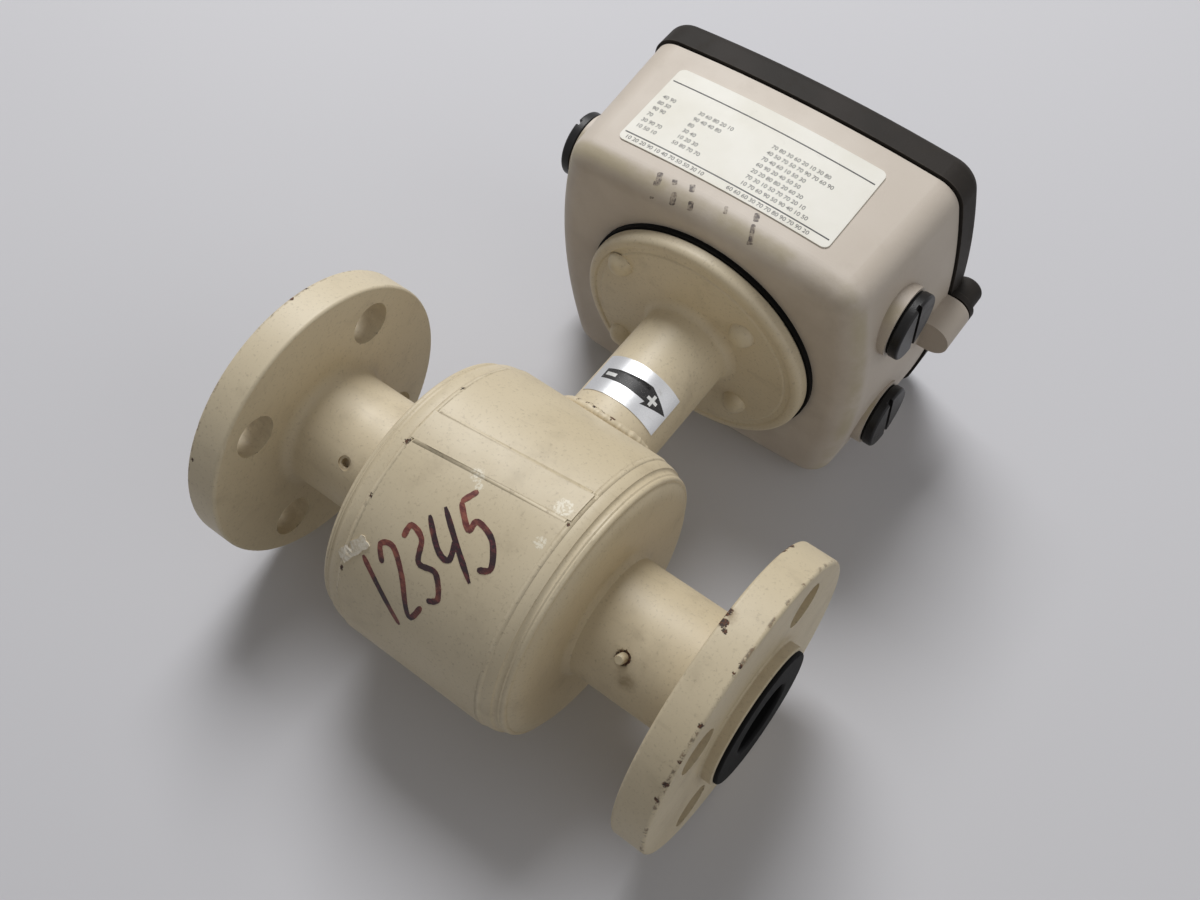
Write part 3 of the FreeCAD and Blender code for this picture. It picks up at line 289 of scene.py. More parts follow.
def paint(name, tint, tone, chips=(), scuffs=(), rims=(), rubbed=0.5, nicked=0.85, dirt_and_shade=0.45):
    """Satin cream paint over metal: mottled, with dirt and painted shade in its corners, rubbed and
    chipped on edges.
    chips and scuffs are lists of spots. rims are worn circles: x, radius, reach and share."""
    f = Finish(name)
    colour = f.mix(f.band(f.noise(75, 2), 0.35, 0.65), tint, tone)
    clouds = f.band(f.noise(14, 6, 0.62), 0.50, 0.80)
    colour = f.mix(f.times(clouds, 0.22), colour, DIRT)
    smears = f.band(f.noise(4.5, 4, 0.6, stretch=(0.25, 1, 1), away=3.1), 0.60, 0.78)
    colour = f.mix(f.times(smears, 0.12), colour, DIRT)
    specks = f.band(f.noise(1.0, 3, 0.6, away=1.7), 0.54, 0.76)
    colour = f.mix(f.times(specks, 0.28), colour, DIRT)
    # Dirt in the corners and gaps, which is also painted shade there.
    grime_and_shade = f.times(f.corners(10), f.band(f.noise(6, 5, 0.6), 0.20, 0.65))
    stained = f.spots(STAINS, 6.0, 4.0, 0.8)
    stained = f.times(stained, f.band(f.noise(3, 4, 0.6, away=6.6), 0.25, 0.60))
    grime_and_shade = f.math("MAXIMUM", grime_and_shade, stained)
    colour = f.mix(f.times(grime_and_shade, dirt_and_shade), colour, GRIME_AND_SHADE)
    outward = f.math("SUBTRACT", 1.0, f.corners(2.5, 0.95, 0.65))
    edge = f.times(f.edges(0.9), outward)
    worn = f.times(edge, f.band(f.noise(4, 4, 0.6, away=5.3), 0.40, 0.62))
    colour = f.mix(f.times(worn, rubbed), colour, BARE_EDGE)
    if scuffs:
        scraped = f.times(f.spots(scuffs, 2.6), f.band(f.noise(0.9, 4, 0.7), 0.42, 0.56))
        colour = f.mix(f.times(scraped, 0.8), colour, SCRAPED)
    nicks = f.times(edge, f.band(f.noise(2.2, 5, 0.72, away=7.7), 0.58, 0.62))
    flaked = f.times(f.spots(chips, 3.2, 0.9), f.band(f.noise(0.7, 3, 0.6), 0.30, 0.42))
    lost = f.math("MAXIMUM", f.times(nicks, nicked), flaked)
    for x, radius, reach, share in rims:
        bare = f.band(f.noise(3.4, 6, 0.75, away=x / 10), 0.50, 0.58)
        lost = f.math("MAXIMUM", lost, f.times(f.times(f.circle(x, radius, reach), bare), share))
    rusty = f.mix(f.band(f.noise(0.8, 3), 0.40, 0.60), RUST, DARK_RUST)
    colour = f.mix(lost, colour, rusty)
    roughness = f.plus(0.40, f.times(f.noise(9, 4), 0.14))
    roughness = f.plus(roughness, f.times(f.math("MAXIMUM", lost, grime_and_shade), 0.25))
    peel = f.plus(f.times(f.noise(1.5, 2), 0.18), f.noise(14, 2, away=2.2))
    return f.look(colour, roughness, f.plus(peel, f.times(flaked, -1.2)), 0.12)


def flange_paint():
    """Paint of the flanges and hubs, chipped along the rims and round the pin."""
    chips = [
        spot(PIN_X, PIN_ANGLE, HUB_R, 2.9),
        spot(82.6, -179, RIM_R - 0.3, 1.8),
        spot(81.4, 177, RIM_R - 0.4, 1.9),
        spot(84.4, -177, RIM_R, 0.9),
        spot(81.5, 136, RIM_R - 0.2, 1.7),
        spot(81.1, 139, RIM_R - 0.3, 1.3),
        spot(81.0, 142, RIM_R - 0.3, 1.8),
        spot(93.9, -171, RIM_R, 0.9),
        spot(93.5, -168, RIM_R, 0.6),
        spot(93.6, -150, RIM_R, 0.9),
        spot(93.8, -137, RIM_R, 0.8),
        spot(93.4, -128, RIM_R, 1.2),
        spot(93.0, -121, RIM_R, 1.0),
        spot(-94.9, -174, RIM_R, 0.7),
        spot(-93.5, 170, RIM_R, 0.9),
        spot(-93.7, 163, RIM_R, 0.7),
        spot(-92.2, -121, RIM_R, 0.6),
        spot(-93.5, 121, RIM_R, 0.8),
    ]
    rims = [
        (RIM_FRONT, RIM_R, 1.0, 0.65),
        (RIM_REAR, RIM_R, 0.8, 0.55),
        (-RIM_FRONT, RIM_R, 0.9, 0.50),
        (-RIM_REAR, RIM_R, 0.8, 0.60),
    ]
    return paint("flange_paint", CREAM, CREAM_TONE, chips, rims=rims)


# Pits in the weld: angle about +Z in degrees, height over the drum, and radius.
WELD_PITS = [(-120, 2.2, 0.9), (-106, 2.9, 1.3), (-98, 2.4, 1.0), (-88, 2.9, 0.8), (-76, 2.6, 1.4)]


def housing_paint():
    """Paint of the drum and neck, nicked at the drum's edge and pitted along the weld."""
    pits = []
    for angle, up, size in WELD_PITS:
        turn = math.radians(angle)
        x = WELD_R * math.cos(turn)
        y = WELD_R * math.sin(turn)
        pits.append((x, y, math.sqrt(DRUM_R ** 2 - y ** 2) + up, size))
    chips = [
        spot(-29.0, -171, DRUM_R, 1.2),
        spot(-28.4, -149, DRUM_R, 0.8),
        spot(-28.4, -119, DRUM_R, 1.1),
        spot(-28.6, 160, DRUM_R, 0.8),
        spot(28.4, -178, DRUM_R, 0.7),
        *pits,
    ]
    scuffs = [
        spot(-3.6, -175, DRUM_R, 2.6),
        spot(-1.0, -172, DRUM_R, 1.4),
        spot(24.0, 178, DRUM_R, 3.4),
        spot(25.0, -168, DRUM_R, 2.2),
    ]
    return paint("housing_paint", CREAM, CREAM_TONE, chips, scuffs, rubbed=0.25, nicked=0.30)


def screw_paint():
    """Paint of the disc's four screws and the earthing pin: less rubbed, with more dirt and painted
    shade in their corners.
    """
    return paint("screw_paint", CREAM, shade(198, 185, 154), rubbed=0.30, dirt_and_shade=0.60)


def box_plastic():
    """Warm grey moulded shell: fine sparked skin, handling marks, dirt and painted shade in its
    corners, and yellow-brown dirt with painted shade low down.
    """
    f = Finish("box_plastic")
    colour = f.mix(f.band(f.noise(60, 2), 0.35, 0.65), shade(206, 196, 184), shade(198, 187, 174))
    handled = f.band(f.noise(20, 6, 0.65, away=4.4), 0.52, 0.78)
    colour = f.mix(f.times(handled, 0.20), colour, shade(152, 138, 122))
    scuffs = f.band(f.noise(3, 5, 0.7, stretch=(1, 1, 0.25), away=6.1), 0.66, 0.76)
    colour = f.mix(f.times(scuffs, 0.20), colour, shade(122, 110, 100))
    # Yellow-brown dirt on the lower bend, which is also painted shade with a warm reflected tint.
    bend = f.times(f.facing((0, 0, -1), 0.10, 0.45), f.facing((0, 0, -1), 0.97, 0.60))
    bend_dirt_and_shade = f.times(bend, f.band(f.noise(18, 5, 0.6, away=7.1), 0.30, 0.62))
    colour = f.mix(f.times(bend_dirt_and_shade, 0.50), colour, shade(168, 156, 116))
    # Painted shade in patches on the faces that look down.
    low = f.times(f.facing((0, 0, -1), 0.5, 0.95), f.band(f.noise(24, 5, 0.6), 0.25, 0.7))
    colour = f.mix(f.times(low, 0.22), colour, shade(132, 114, 92))
    # Dirt in the corners and gaps, which is also painted shade there.
    grime_and_shade = f.times(f.corners(10), f.band(f.noise(5, 4), 0.2, 0.6))
    colour = f.mix(f.times(grime_and_shade, 0.45), colour, shade(100, 86, 70))
    edge = f.times(f.edges(0.8), f.band(f.noise(4, 4), 0.4, 0.65))
    colour = f.mix(f.times(edge, 0.35), colour, shade(226, 218, 206))
    roughness = f.plus(0.46, f.times(f.noise(10, 4), 0.14))
    height = f.plus(f.times(f.noise(0.55, 2), 0.5), f.times(f.noise(20, 2), 0.5))
    return f.look(colour, roughness, height, 0.06)


def plastic(name, tint, tone, dust, grain, roughness, shine=0.3):
    """Moulded plastic: fine sparked skin, dust that lies in patches, lighter rubbed edges."""
    f = Finish(name)
    colour = f.mix(f.band(f.noise(30, 3), 0.35, 0.65), tint, tone)
    powder = f.band(f.noise(7, 6, 0.7, away=2.9), 0.50, 0.80)
    colour = f.mix(f.times(powder, 0.12), colour, dust)
    rubbed = f.times(f.edges(0.7), f.band(f.noise(3, 4, 0.6, away=8.1), 0.35, 0.65))
    colour = f.mix(f.times(rubbed, 0.40), colour, dust)
    rough = f.plus(roughness, f.times(powder, 0.18))
    return f.look(colour, rough, f.noise(grain, 2), 0.05, shine=shine)


def lid_plastic():
    """Matt brown-black of the lid."""
    return plastic("lid_plastic", shade(52, 48, 45), shade(45, 42, 39),
                   shade(104, 98, 90), 0.6, 0.58, 0.12)


def plug_plastic():
    """Black of the blanking plugs and their nuts."""
    return plastic("plug_plastic", shade(24, 23, 23), shade(19, 18, 18),
                   shade(84, 82, 80), 0.5, 0.40)


def module_plastic():
    """Dark grey of the memory module."""
    return plastic("module_plastic", shade(46, 46, 50), shade(40, 40, 44),
                   shade(90, 90, 92), 0.4, 0.30)


def bobbin_plastic():
    """Grey of the coil bobbins and the lead bushing."""
    return plastic("bobbin_plastic", shade(70, 70, 72), shade(62, 62, 64),
                   shade(110, 110, 110), 0.7, 0.50)


def terminal_plastic():
    """Green of the terminal blocks."""
    return plastic("terminal_plastic", shade(58, 84, 70), shade(50, 76, 62),
                   shade(120, 140, 126), 0.5, 0.40)


def clear_polymer():
    """Pale natural polymer of the bushes."""
    return plastic("clear_polymer", shade(236, 232, 220), shade(226, 220, 204),
                   shade(246, 244, 236), 0.6, 0.42)


def black_rubber():
    """Dull black of the liner, gaskets and seals."""
    return plastic("black_rubber", shade(13, 12, 12), shade(9, 9, 9),
                   shade(52, 49, 46), 0.35, 0.66, 0.10)


def metal(name, tint, tone, grain, lines, roughness, dull=0.25):
    """Bright or dull metal with fine lines across the stretched axis and an uneven bloom."""
    f = Finish(name)
    brushed = f.noise(grain, 3, 0.6, stretch=lines)
    colour = f.mix(f.band(brushed, 0.3, 0.7), tint, tone)
    bloom = f.band(f.noise(8, 5, 0.6, away=1.1), 0.45, 0.75)
    colour = f.mix(f.times(bloom, dull), colour, shade(120, 112, 104))
    rough = f.plus(roughness, f.times(f.math("MAXIMUM", bloom, brushed), 0.18))
    return f.look(colour, rough, brushed, 0.01, 1.0)


def stainless():
    return metal("stainless", shade(206, 206, 204), shade(188, 188, 186),
                 0.5, (8, 1, 1), 0.26)


def electrode_alloy():
    return metal("electrode_alloy", shade(198, 196, 190), shade(184, 182, 176),
                 0.4, (1, 4, 1), 0.20)


def spring_steel():
    return metal("spring_steel", shade(182, 180, 176), shade(160, 158, 154),
                 0.4, (1, 4, 1), 0.28)


def magnet_steel():
    return metal("magnet_steel", shade(150, 150, 152), shade(128, 128, 130),
                 0.9, (1, 1, 1), 0.45, 0.5)


def zinc_steel():
    return metal("zinc_steel", shade(198, 198, 192), shade(178, 180, 176),
                 0.6, (1, 1, 1), 0.32, 0.4)


def copper_winding():
    """Enamelled wire laid in close turns."""
    f = Finish("copper_winding")
    turns = f.tree.nodes.new("ShaderNodeTexWave")
    turns.wave_type = "BANDS"
    turns.bands_direction = "Z"
    turns.inputs["Scale"].default_value = 1 / (1.6 * MM)
    turns.inputs["Distortion"].default_value = 0.4
    f.link(turns.inputs["Vector"], f.place)
    wire = turns.outputs["Fac"]
    colour = f.mix(wire, shade(120, 56, 28), shade(202, 118, 66))
    rough = f.plus(0.26, f.times(f.noise(2, 3), 0.14))
    return f.look(colour, rough, wire, 0.15, 0.9)


def board_green():
    """Solder-resist green with faint copper tracks under it."""
    f = Finish("board_green")
    tracks = f.tree.nodes.new("ShaderNodeTexVoronoi")
    tracks.distance = "MANHATTAN"
    tracks.inputs["Scale"].default_value = 1 / (6 * MM)
    f.link(tracks.inputs["Vector"], f.place)
    lines = f.band(tracks.outputs["Distance"], 0.52, 0.60)
    colour = f.mix(lines, shade(40, 108, 66), shade(62, 136, 84))
    rough = f.plus(0.30, f.times(f.noise(3, 3), 0.12))
    return f.look(colour, rough, lines, 0.03)


def label_film():
    """White printed film, slightly yellowed and scuffed, with painted shade along its cut edges."""
    f = Finish("label_film")
    colour = f.mix(f.band(f.noise(28, 4), 0.35, 0.7), shade(238, 236, 228), shade(230, 227, 216))
    smudge = f.band(f.noise(6, 6, 0.7, away=3.3), 0.60, 0.78)
    colour = f.mix(f.times(smudge, 0.25), colour, shade(176, 172, 164))
    # Painted shade along the cut edges.
    colour = f.mix(f.times(f.edges(0.5), 0.35), colour, shade(170, 164, 152))
    rough = f.plus(0.46, f.times(f.noise(4, 4), 0.18))
    return f.look(colour, rough, f.noise(1.2, 2), 0.015, shine=0.35)


def label_foil():
    """Satin silver foil with a fine grain round the neck and light creases."""
    f = Finish("label_foil")
    grain = f.noise(0.5, 3, 0.6, stretch=(1, 1, 6))
    colour = f.mix(f.band(grain, 0.3, 0.7), shade(226, 227, 228), shade(210, 211, 213))
    marks = f.band(f.noise(4, 6, 0.7, away=1.9), 0.58, 0.74)
    colour = f.mix(f.times(marks, 0.30), colour, shade(160, 156, 148))
    rough = f.plus(0.30, f.times(f.math("MAXIMUM", marks, grain), 0.16))
    return f.look(colour, rough, f.plus(grain, f.noise(7, 2)), 0.02, 0.85)


def ink():
    """Black printing ink, a little speckled."""
    f = Finish("ink")
    specks = f.band(f.noise(0.5, 3, 0.6), 0.60, 0.68)
    colour = f.mix(f.times(specks, 0.5), shade(28, 27, 28), shade(128, 126, 124))
    return f.look(colour, f.plus(0.42, f.times(f.noise(2), 0.12)), specks, 0.01)


def foil_mark():
    """Bare foil that shows through the printed arrow."""
    f = Finish("foil_mark")
    grain = f.noise(0.6, 3)
    colour = f.mix(grain, shade(232, 232, 230), shade(208, 208, 206))
    return f.look(colour, f.plus(0.32, f.times(grain, 0.1)), grain, 0.01, 0.6)


def marker_ink():
    """Felt-pen ink, nearly black where it lies thick and reddish brown where the pen ran dry."""
    f = Finish("marker_ink")
    dry = f.noise(1.3, 5, 0.65, stretch=(0.5, 1, 1))
    thin = f.band(f.noise(13, 2, away=1.4), 0.44, 0.56)
    dark = f.mix(f.band(dry, 0.50, 0.66), shade(38, 14, 20), shade(86, 34, 42))
    light = f.mix(f.band(dry, 0.40, 0.62), shade(98, 44, 42), shade(140, 82, 68))
    colour = f.mix(thin, dark, light)
    bare = f.band(f.noise(0.8, 4, 0.7, away=4.2), 0.60, 0.74)
    colour = f.mix(f.times(bare, f.plus(0.25, f.times(thin, 0.45))), colour, shade(186, 164, 136))
    return f.look(colour, f.plus(0.38, f.times(dry, 0.2)), dry, 0.01)


def ghost_ink():
    """Old pen strokes rubbed almost away."""
    f = Finish("ghost_ink")
    left = f.band(f.noise(1.7, 5, 0.75, away=9.2), 0.38, 0.60)
    colour = f.mix(left, shade(172, 160, 144), shade(80, 70, 66))
    return f.look(colour, f.plus(0.46, f.times(left, 0.1)), f.noise(0.55, 2), 0.03)


def scrap_paper():
    """Torn paper left by a peeled sticker."""
    f = Finish("scrap_paper")
    fibre = f.noise(1.2, 6, 0.7)
    colour = f.mix(f.band(fibre, 0.4, 0.65), shade(238, 231, 216), shade(214, 202, 178))
    colour = f.mix(f.times(f.edges(0.3), 0.5), colour, shade(128, 100, 66))
    return f.look(colour, 0.78, fibre, 0.12)


FINISHES = [
    flange_paint, housing_paint, screw_paint, box_plastic, lid_plastic, plug_plastic,
    module_plastic, bobbin_plastic, terminal_plastic, clear_polymer, black_rubber, stainless,
    electrode_alloy, spring_steel, magnet_steel, zinc_steel, copper_winding, board_green,
    label_film, label_foil, ink, foil_mark, marker_ink, ghost_ink, scrap_paper,
]
finishes = {make.__name__: make() for make in FINISHES}

slot_of = {part["node"]: part["material_slot"] for part in frame["record"]["subparts"]}
for node, piece in nodes.items():
    for place in piece.material_slots:
        place.material = finishes[slot_of[node]]


# --- thin pieces laid on the CAD surfaces, in millimetres -------------------------------------
INK_HEIGHT = 0.06                      # from the surface up, and as much below it
HIGHER = 0.04                          # how much a mark on another mark stands above it
BEND_STEP = 4.0                        # length of the flat steps on a nearly flat surface
STROKE_ENDS = (0.45, 0.85, 1.0)        # width of a stroke from its tip inwards, as shares
STROKE_WAVER = 0.08                    # share by which a stroke's width varies


def skin(*names):
    """Search tree of the surface of one or more CAD nodes."""
    points = []
    faces = []
    for name in names:
        mesh = nodes[name].data
        first = len(points)
        points += [v.co for v in mesh.vertices]
        faces += [[first + index for index in p.vertices] for p in mesh.polygons]
    return BVHTree.FromPolygons(points, faces)


def polygon(points):
    """Flat mesh of one outline given in millimetres."""
    flat = bmesh.new()
    flat.faces.new([flat.verts.new((u, v, 0)) for u, v in points])
    bmesh.ops.triangulate(flat, faces=flat.faces[:])
    return flat


def bar(left, low, right, high):
    """Flat mesh of an upright rectangle given in millimetres."""
    return polygon([(left, low), (right, low), (right, high), (left, high)])


def curve_through(points, steps=7):
    """Points of a smooth line through the given ones."""
    ends = [points[0], *points, points[-1]]
    line = []
    for before, start, end, after in zip(ends, ends[1:], ends[2:], ends[3:]):
        for step in range(steps):
            t = step / steps
            line.append(
                0.5 * (2 * start + (end - before) * t
                       + (2 * before - 5 * start + 4 * end - after) * t ** 2
                       + (3 * start - before - 3 * end + after) * t ** 3)
            )
    return [*line, points[-1]]


def stroke(points, width, chance):
    """Flat mesh of one pen stroke with rounded ends and a slightly uneven width."""
    line = curve_through([Vector(p) for p in points])
    flat = bmesh.new()
    last = len(line) - 1
    rows = []
    inmost = len(STROKE_ENDS) - 1
    for index, point in enumerate(line):
        along = (line[min(index + 1, last)] - line[max(index - 1, 0)]).normalized()
        across = Vector((-along.y, along.x))
        half = width / 2 * (1 + chance.uniform(-STROKE_WAVER, STROKE_WAVER))
        half *= STROKE_ENDS[min(index, last - index, inmost)]
        sides = [point + across * half, point - across * half]
        rows.append([flat.verts.new((p.x, p.y, 0)) for p in sides])
    for (a, b), (c, d) in zip(rows, rows[1:]):
        flat.faces.new((a, b, d, c))
    return flat


def written(text, size):
    """Flat mesh of a line of plain characters, starting at the origin."""
    curve = bpy.data.curves.new("text", "FONT")
    curve.body = text
    curve.size = size
    holder = bpy.data.objects.new("text", curve)
    mesh = bpy.data.meshes.new_from_object(holder)
    flat = bmesh.new()
    flat.from_mesh(mesh)
    bmesh.ops.remove_doubles(flat, verts=flat.verts[:], dist=0.001)
    bpy.data.objects.remove(holder)
    bpy.data.curves.remove(curve)
    bpy.data.meshes.remove(mesh)
    return flat


def gather(flats):
    """One flat mesh of several, each given with the place it moves to."""
    whole = bmesh.new()
    for flat, (u, v) in flats:
        bmesh.ops.translate(flat, verts=flat.verts[:], vec=(u, v, 0))
        mesh = bpy.data.meshes.new("part")
        flat.to_mesh(mesh)
        flat.free()
        whole.from_mesh(mesh)
        bpy.data.meshes.remove(mesh)
    return whole


def slice_up(flat, step=BEND_STEP):
    """Cuts a flat mesh every step millimetres along u, so that it can bend."""
    across = [v.co.x for v in flat.verts]
    cut = math.floor(min(across) / step) * step + step
    while cut < max(across):
        geometry = flat.verts[:] + flat.edges[:] + flat.faces[:]
        bmesh.ops.bisect_plane(flat, geom=geometry, plane_co=(cut, 0, 0), plane_no=(1, 0, 0))
        cut += step
    return flat


def lay(name, flat, onto, finish, height=INK_HEIGHT):
    """Makes a thin closed piece: the flat mesh, laid on the surface that onto(u, v) finds.
    It reaches as far below that surface as above it."""
    solid = bmesh.new()
    tops = {}
    feet = {}
    for vert in flat.verts:
        point, outward = onto(vert.co.x, vert.co.y)
        tops[vert] = solid.verts.new(point + outward * height * MM)
        feet[vert] = solid.verts.new(point - outward * height * MM)
    for face in flat.faces:
        solid.faces.new([tops[v] for v in face.verts])
        solid.faces.new([feet[v] for v in reversed(face.verts)])
    for edge in flat.edges:
        if edge.is_boundary:
            a, b = edge.verts
            solid.faces.new((tops[a], feet[a], feet[b], tops[b]))
    bmesh.ops.recalc_face_normals(solid, faces=solid.faces[:])
    flat.free()
    return piece_of(name, solid, finish)


def piece_of(name, solid, finish):
    """Turns a mesh in metres into a named piece that goes with the meter."""
    mesh = bpy.data.meshes.new(name)
    solid.to_mesh(mesh)
    solid.free()
    mesh.materials.append(finishes[finish])
    piece = bpy.data.objects.new(name, mesh)
    bpy.context.scene.collection.objects.link(piece)
    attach(piece, "root")
    return piece


def smooth(piece):
    """Rounds off the look of a piece's faces."""
    for face in piece.data.polygons:
        face.use_smooth = True


def onto_round(surface, axis, radius):
    """Places for lay() on a round surface: u runs round it and v along its axis.
    Angles are about +X from +Y for the pipe, and about +Z from +X for the neck."""

    def find(u, v):
        angle = u / radius
        if axis == "x":
            outward = Vector((0, math.cos(angle), math.sin(angle)))
            middle = Vector((v, 0, 0)) * MM
        else:
            outward = Vector((math.cos(angle), math.sin(angle), 0))
            middle = Vector((0, 0, v)) * MM
        start = middle + outward * 3 * radius * MM
        point = surface.ray_cast(start, -outward)[0]
        return (point or middle + outward * radius * MM), outward

    return find


def onto_drum():
    """Places for lay() on the drum, its end caps included: u runs round it and v is x."""
    drum = skin("housing_shell", "housing_end_inlet", "housing_end_outlet")
    return onto_round(drum, "x", DRUM_R)


def onto_seen(surface):
    """Places for lay() where a point of the box's front plane is seen from the camera."""

    def find(u, v):
        on_plane = Vector((u, BOX_FRONT, v)) * MM
        sight = (on_plane - CAMERA_AT).normalized()
        point, outward = surface.ray_cast(CAMERA_AT, sight)[:2]
        return point, outward

    return find


def onto_front(surface):
    """Places for lay() on the front of the box: u is x and v is z, in millimetres."""
    outward = Vector((0, -1, 0))

    def find(u, v):
        start = Vector((u, 2 * BOX_FRONT, v)) * MM
        point = surface.ray_cast(start, -outward)[0]
        return (point or Vector((u, BOX_FRONT, v)) * MM), outward

    return find


# --- the number written on the drum ---------------------------------------------------------
NUMBER = "12345"
MARKER_WIDTH = 1.9
MARKER_START = (-22.6, -128.8)         # x, and angle about +X in degrees, of the first digit
MARKER_ACROSS = Vector((0.51, -0.86))  # along the row of digits, over x and arc
MARKER_DOWN = Vector((19.0, 15.0))     # from the top of a digit to its foot
MARKER_W = 7.2                         # width of a digit
MARKER_PLACES = (-2.8, 6.6, 16.8, 27.0, 37.2)
STROKE_RISE = 0.01                     # by which each stroke lies above the one before
# The strokes of each digit, from 0 to 1 across it and from 0 to 1 down it.
DIGITS = {
    "1": [[(0.5, 0.0), (0.52, 0.5), (0.5, 1.0)]],
    "2": [[(0.0, 0.22), (0.3, 0.0), (0.85, 0.12), (0.7, 0.5), (0.05, 0.97), (1.0, 0.95)]],
    "3": [[(0.05, 0.08), (0.6, 0.0), (0.85, 0.22), (0.35, 0.46), (0.95, 0.68), (0.6, 0.97),
           (0.0, 0.92)]],
    "4": [[(0.1, 0.0), (0.0, 0.45), (0.35, 0.62), (0.95, 0.42)], [(0.85, 0.0), (0.9, 1.0)]],
    "5": [[(0.15, 0.03), (0.12, 0.40), (0.6, 0.36), (0.98, 0.66), (0.6, 0.97), (0.0, 0.9)],
          [(0.15, 0.03), (0.95, 0.0)]],
}


def write_number():
    """Hand-written plain digits, running obliquely across the drum."""
    chance = random.Random(11)
    onto = onto_drum()
    x, angle = MARKER_START
    corner = Vector((x, math.radians(angle) * DRUM_R))
    count = 0
    for digit, along in zip(NUMBER, MARKER_PLACES):
        start = corner + MARKER_ACROSS * along
        for line in DIGITS[digit]:
            points = [start + MARKER_ACROSS * MARKER_W * across + MARKER_DOWN * down
                      for across, down in line]
            flat = stroke([(arc, x) for x, arc in points], MARKER_WIDTH, chance)
            count += 1
            height = INK_HEIGHT + STROKE_RISE * count
            lay(f"marker_stroke_{count}", flat, onto, "marker_ink", height)


# --- rubbed pen strokes below the label -------------------------------------------------------
DASH_HEIGHT = 0.03
DASH_BOW = 0.2                         # how far the middle of a dash may lie aside
# x and z of each end on the box's front plane, and width.
DASHES = [
    (-24.4, 117.6, -22.4, 113.0, 1.9),
    (-22.9, 113.6, -22.2, 112.2, 2.2),
    (-20.6, 107.4, -20.1, 106.6, 1.3),
    (-18.6, 117.9, -17.4, 115.9, 1.8),
    (-15.6, 113.4, -13.2, 108.2, 1.9),
    (-12.8, 119.6, -11.2, 116.6, 1.9),
    (-9.0, 113.4, -7.2, 109.8, 1.8),
    (1.6, 118.4, 2.9, 115.4, 1.2),
    (11.5, 122.0, 12.9, 118.6, 1.9),
    (13.0, 117.4, 16.3, 110.4, 1.5),
    (16.2, 110.8, 16.7, 109.6, 1.9),
]


def write_ghosts():
    """Dashes left of an older number, now rubbed almost away."""
    chance = random.Random(5)
    onto = onto_seen(skin("terminal_box"))
    for count, (x, z, far_x, far_z, width) in enumerate(DASHES):
        middle = ((x + far_x) / 2 + chance.uniform(-DASH_BOW, DASH_BOW), (z + far_z) / 2)
        flat = stroke([(x, z), middle, (far_x, far_z)], width, chance)
        lay(f"rubbed_stroke_{count + 1}", flat, onto, "ghost_ink", DASH_HEIGHT)


# --- the print on the front label -------------------------------------------------------------
RULE_H = 0.5
RULE_LEFT = 1.0                        # from the label's left edge
RULE_RIGHT = 1.3                       # from its right edge
RULE_TOP = 7.0                         # from its top down to the upper rule
RULE_FOOT = 3.5                        # from its foot up to the lower rule
TEXT_SIZE = 2.35
TEXT_PITCH = 3.15
TEXT_HEIGHT = 0.04
LEFT_DROP = 8.6                        # from the upper rule down to the first row on the left
RIGHT_DROP = 7.2                       # and on the right
FOOT_DROP = 2.4                        # from the lower rule down to the row below it
NAME_X = 1.4                           # where rows start, from the left end of the rules
VALUE_X = 16.4
RANGE_X = 45.6
FOOT_X = 43.0
# How many numbers each row holds: names and values on the left, and the rows on the right.
LEFT_ROWS = [(2, 5), (2, 4), (2, 1), (1, 2), (3, 3), (3, 4)]
RIGHT_ROWS = [8, 9, 6, 6, 7, 8, 9]
FOOT_COUNT = 11


def number_row(chance, count):
    """So many of the plain numbers from 10 to 90, in a row."""
    return " ".join(str(chance.randrange(1, 10) * 10) for _ in range(count))


def print_front_label():
    """Two rules and rows of plain numbers; the title's place above the rows stays bare."""
    chance = random.Random(3)
    onto = onto_front(skin("front_label"))
    left = LABEL_LOW.x + RULE_LEFT
    right = LABEL_HIGH.x - RULE_RIGHT
    rule_high = LABEL_HIGH.z - RULE_TOP
    rule_low = LABEL_LOW.z + RULE_FOOT
    for name, z in (("label_rule_upper", rule_high), ("label_rule_lower", rule_low)):
        lay(name, slice_up(bar(left, z, right, z + RULE_H)), onto, "ink")
    rows = []
    for row, (names, values) in enumerate(LEFT_ROWS):
        z = rule_high - LEFT_DROP - row * TEXT_PITCH
        rows.append((f"name_{row + 1}", left + NAME_X, z, names))
        rows.append((f"value_{row + 1}", left + VALUE_X, z, values))
    for row, count in enumerate(RIGHT_ROWS):
        z = rule_high - RIGHT_DROP - row * TEXT_PITCH
        rows.append((f"range_{row + 1}", left + RANGE_X, z, count))
    rows.append(("foot_left", left + NAME_X, rule_low - FOOT_DROP, FOOT_COUNT))
    rows.append(("foot_right", left + FOOT_X, rule_low - FOOT_DROP, FOOT_COUNT))
    for name, x, z, count in rows:
        text = written(number_row(chance, count), TEXT_SIZE)
        flat = slice_up(gather([(text, (x, z))]))
        lay(f"label_numbers_{name}", flat, onto, "ink", TEXT_HEIGHT)


# --- the arrow on the foil --------------------------------------------------------------------
ARROW_Z = 66.6
ARROW_SHAFT_H = 4.4
ARROW_HEAD_H = 8.2
ARROW_TAIL_ANGLE = -126.0              # degrees about +Z from +X
ARROW_HEAD_ANGLE = -63.0
ARROW_TIP_ANGLE = -32.0
BARB = 0.8                             # how far the head's corners lie back
FOIL_STEP = 0.9                        # length of the flat steps round the neck
MINUS_START = 1.1                      # from the arrow's tail
MINUS_END = 5.6
MINUS_HALF = 0.75
PLUS_START = 2.0                       # middle of the plus, from the start of the head
PLUS_ARM = 2.2
PLUS_HALF = 0.6


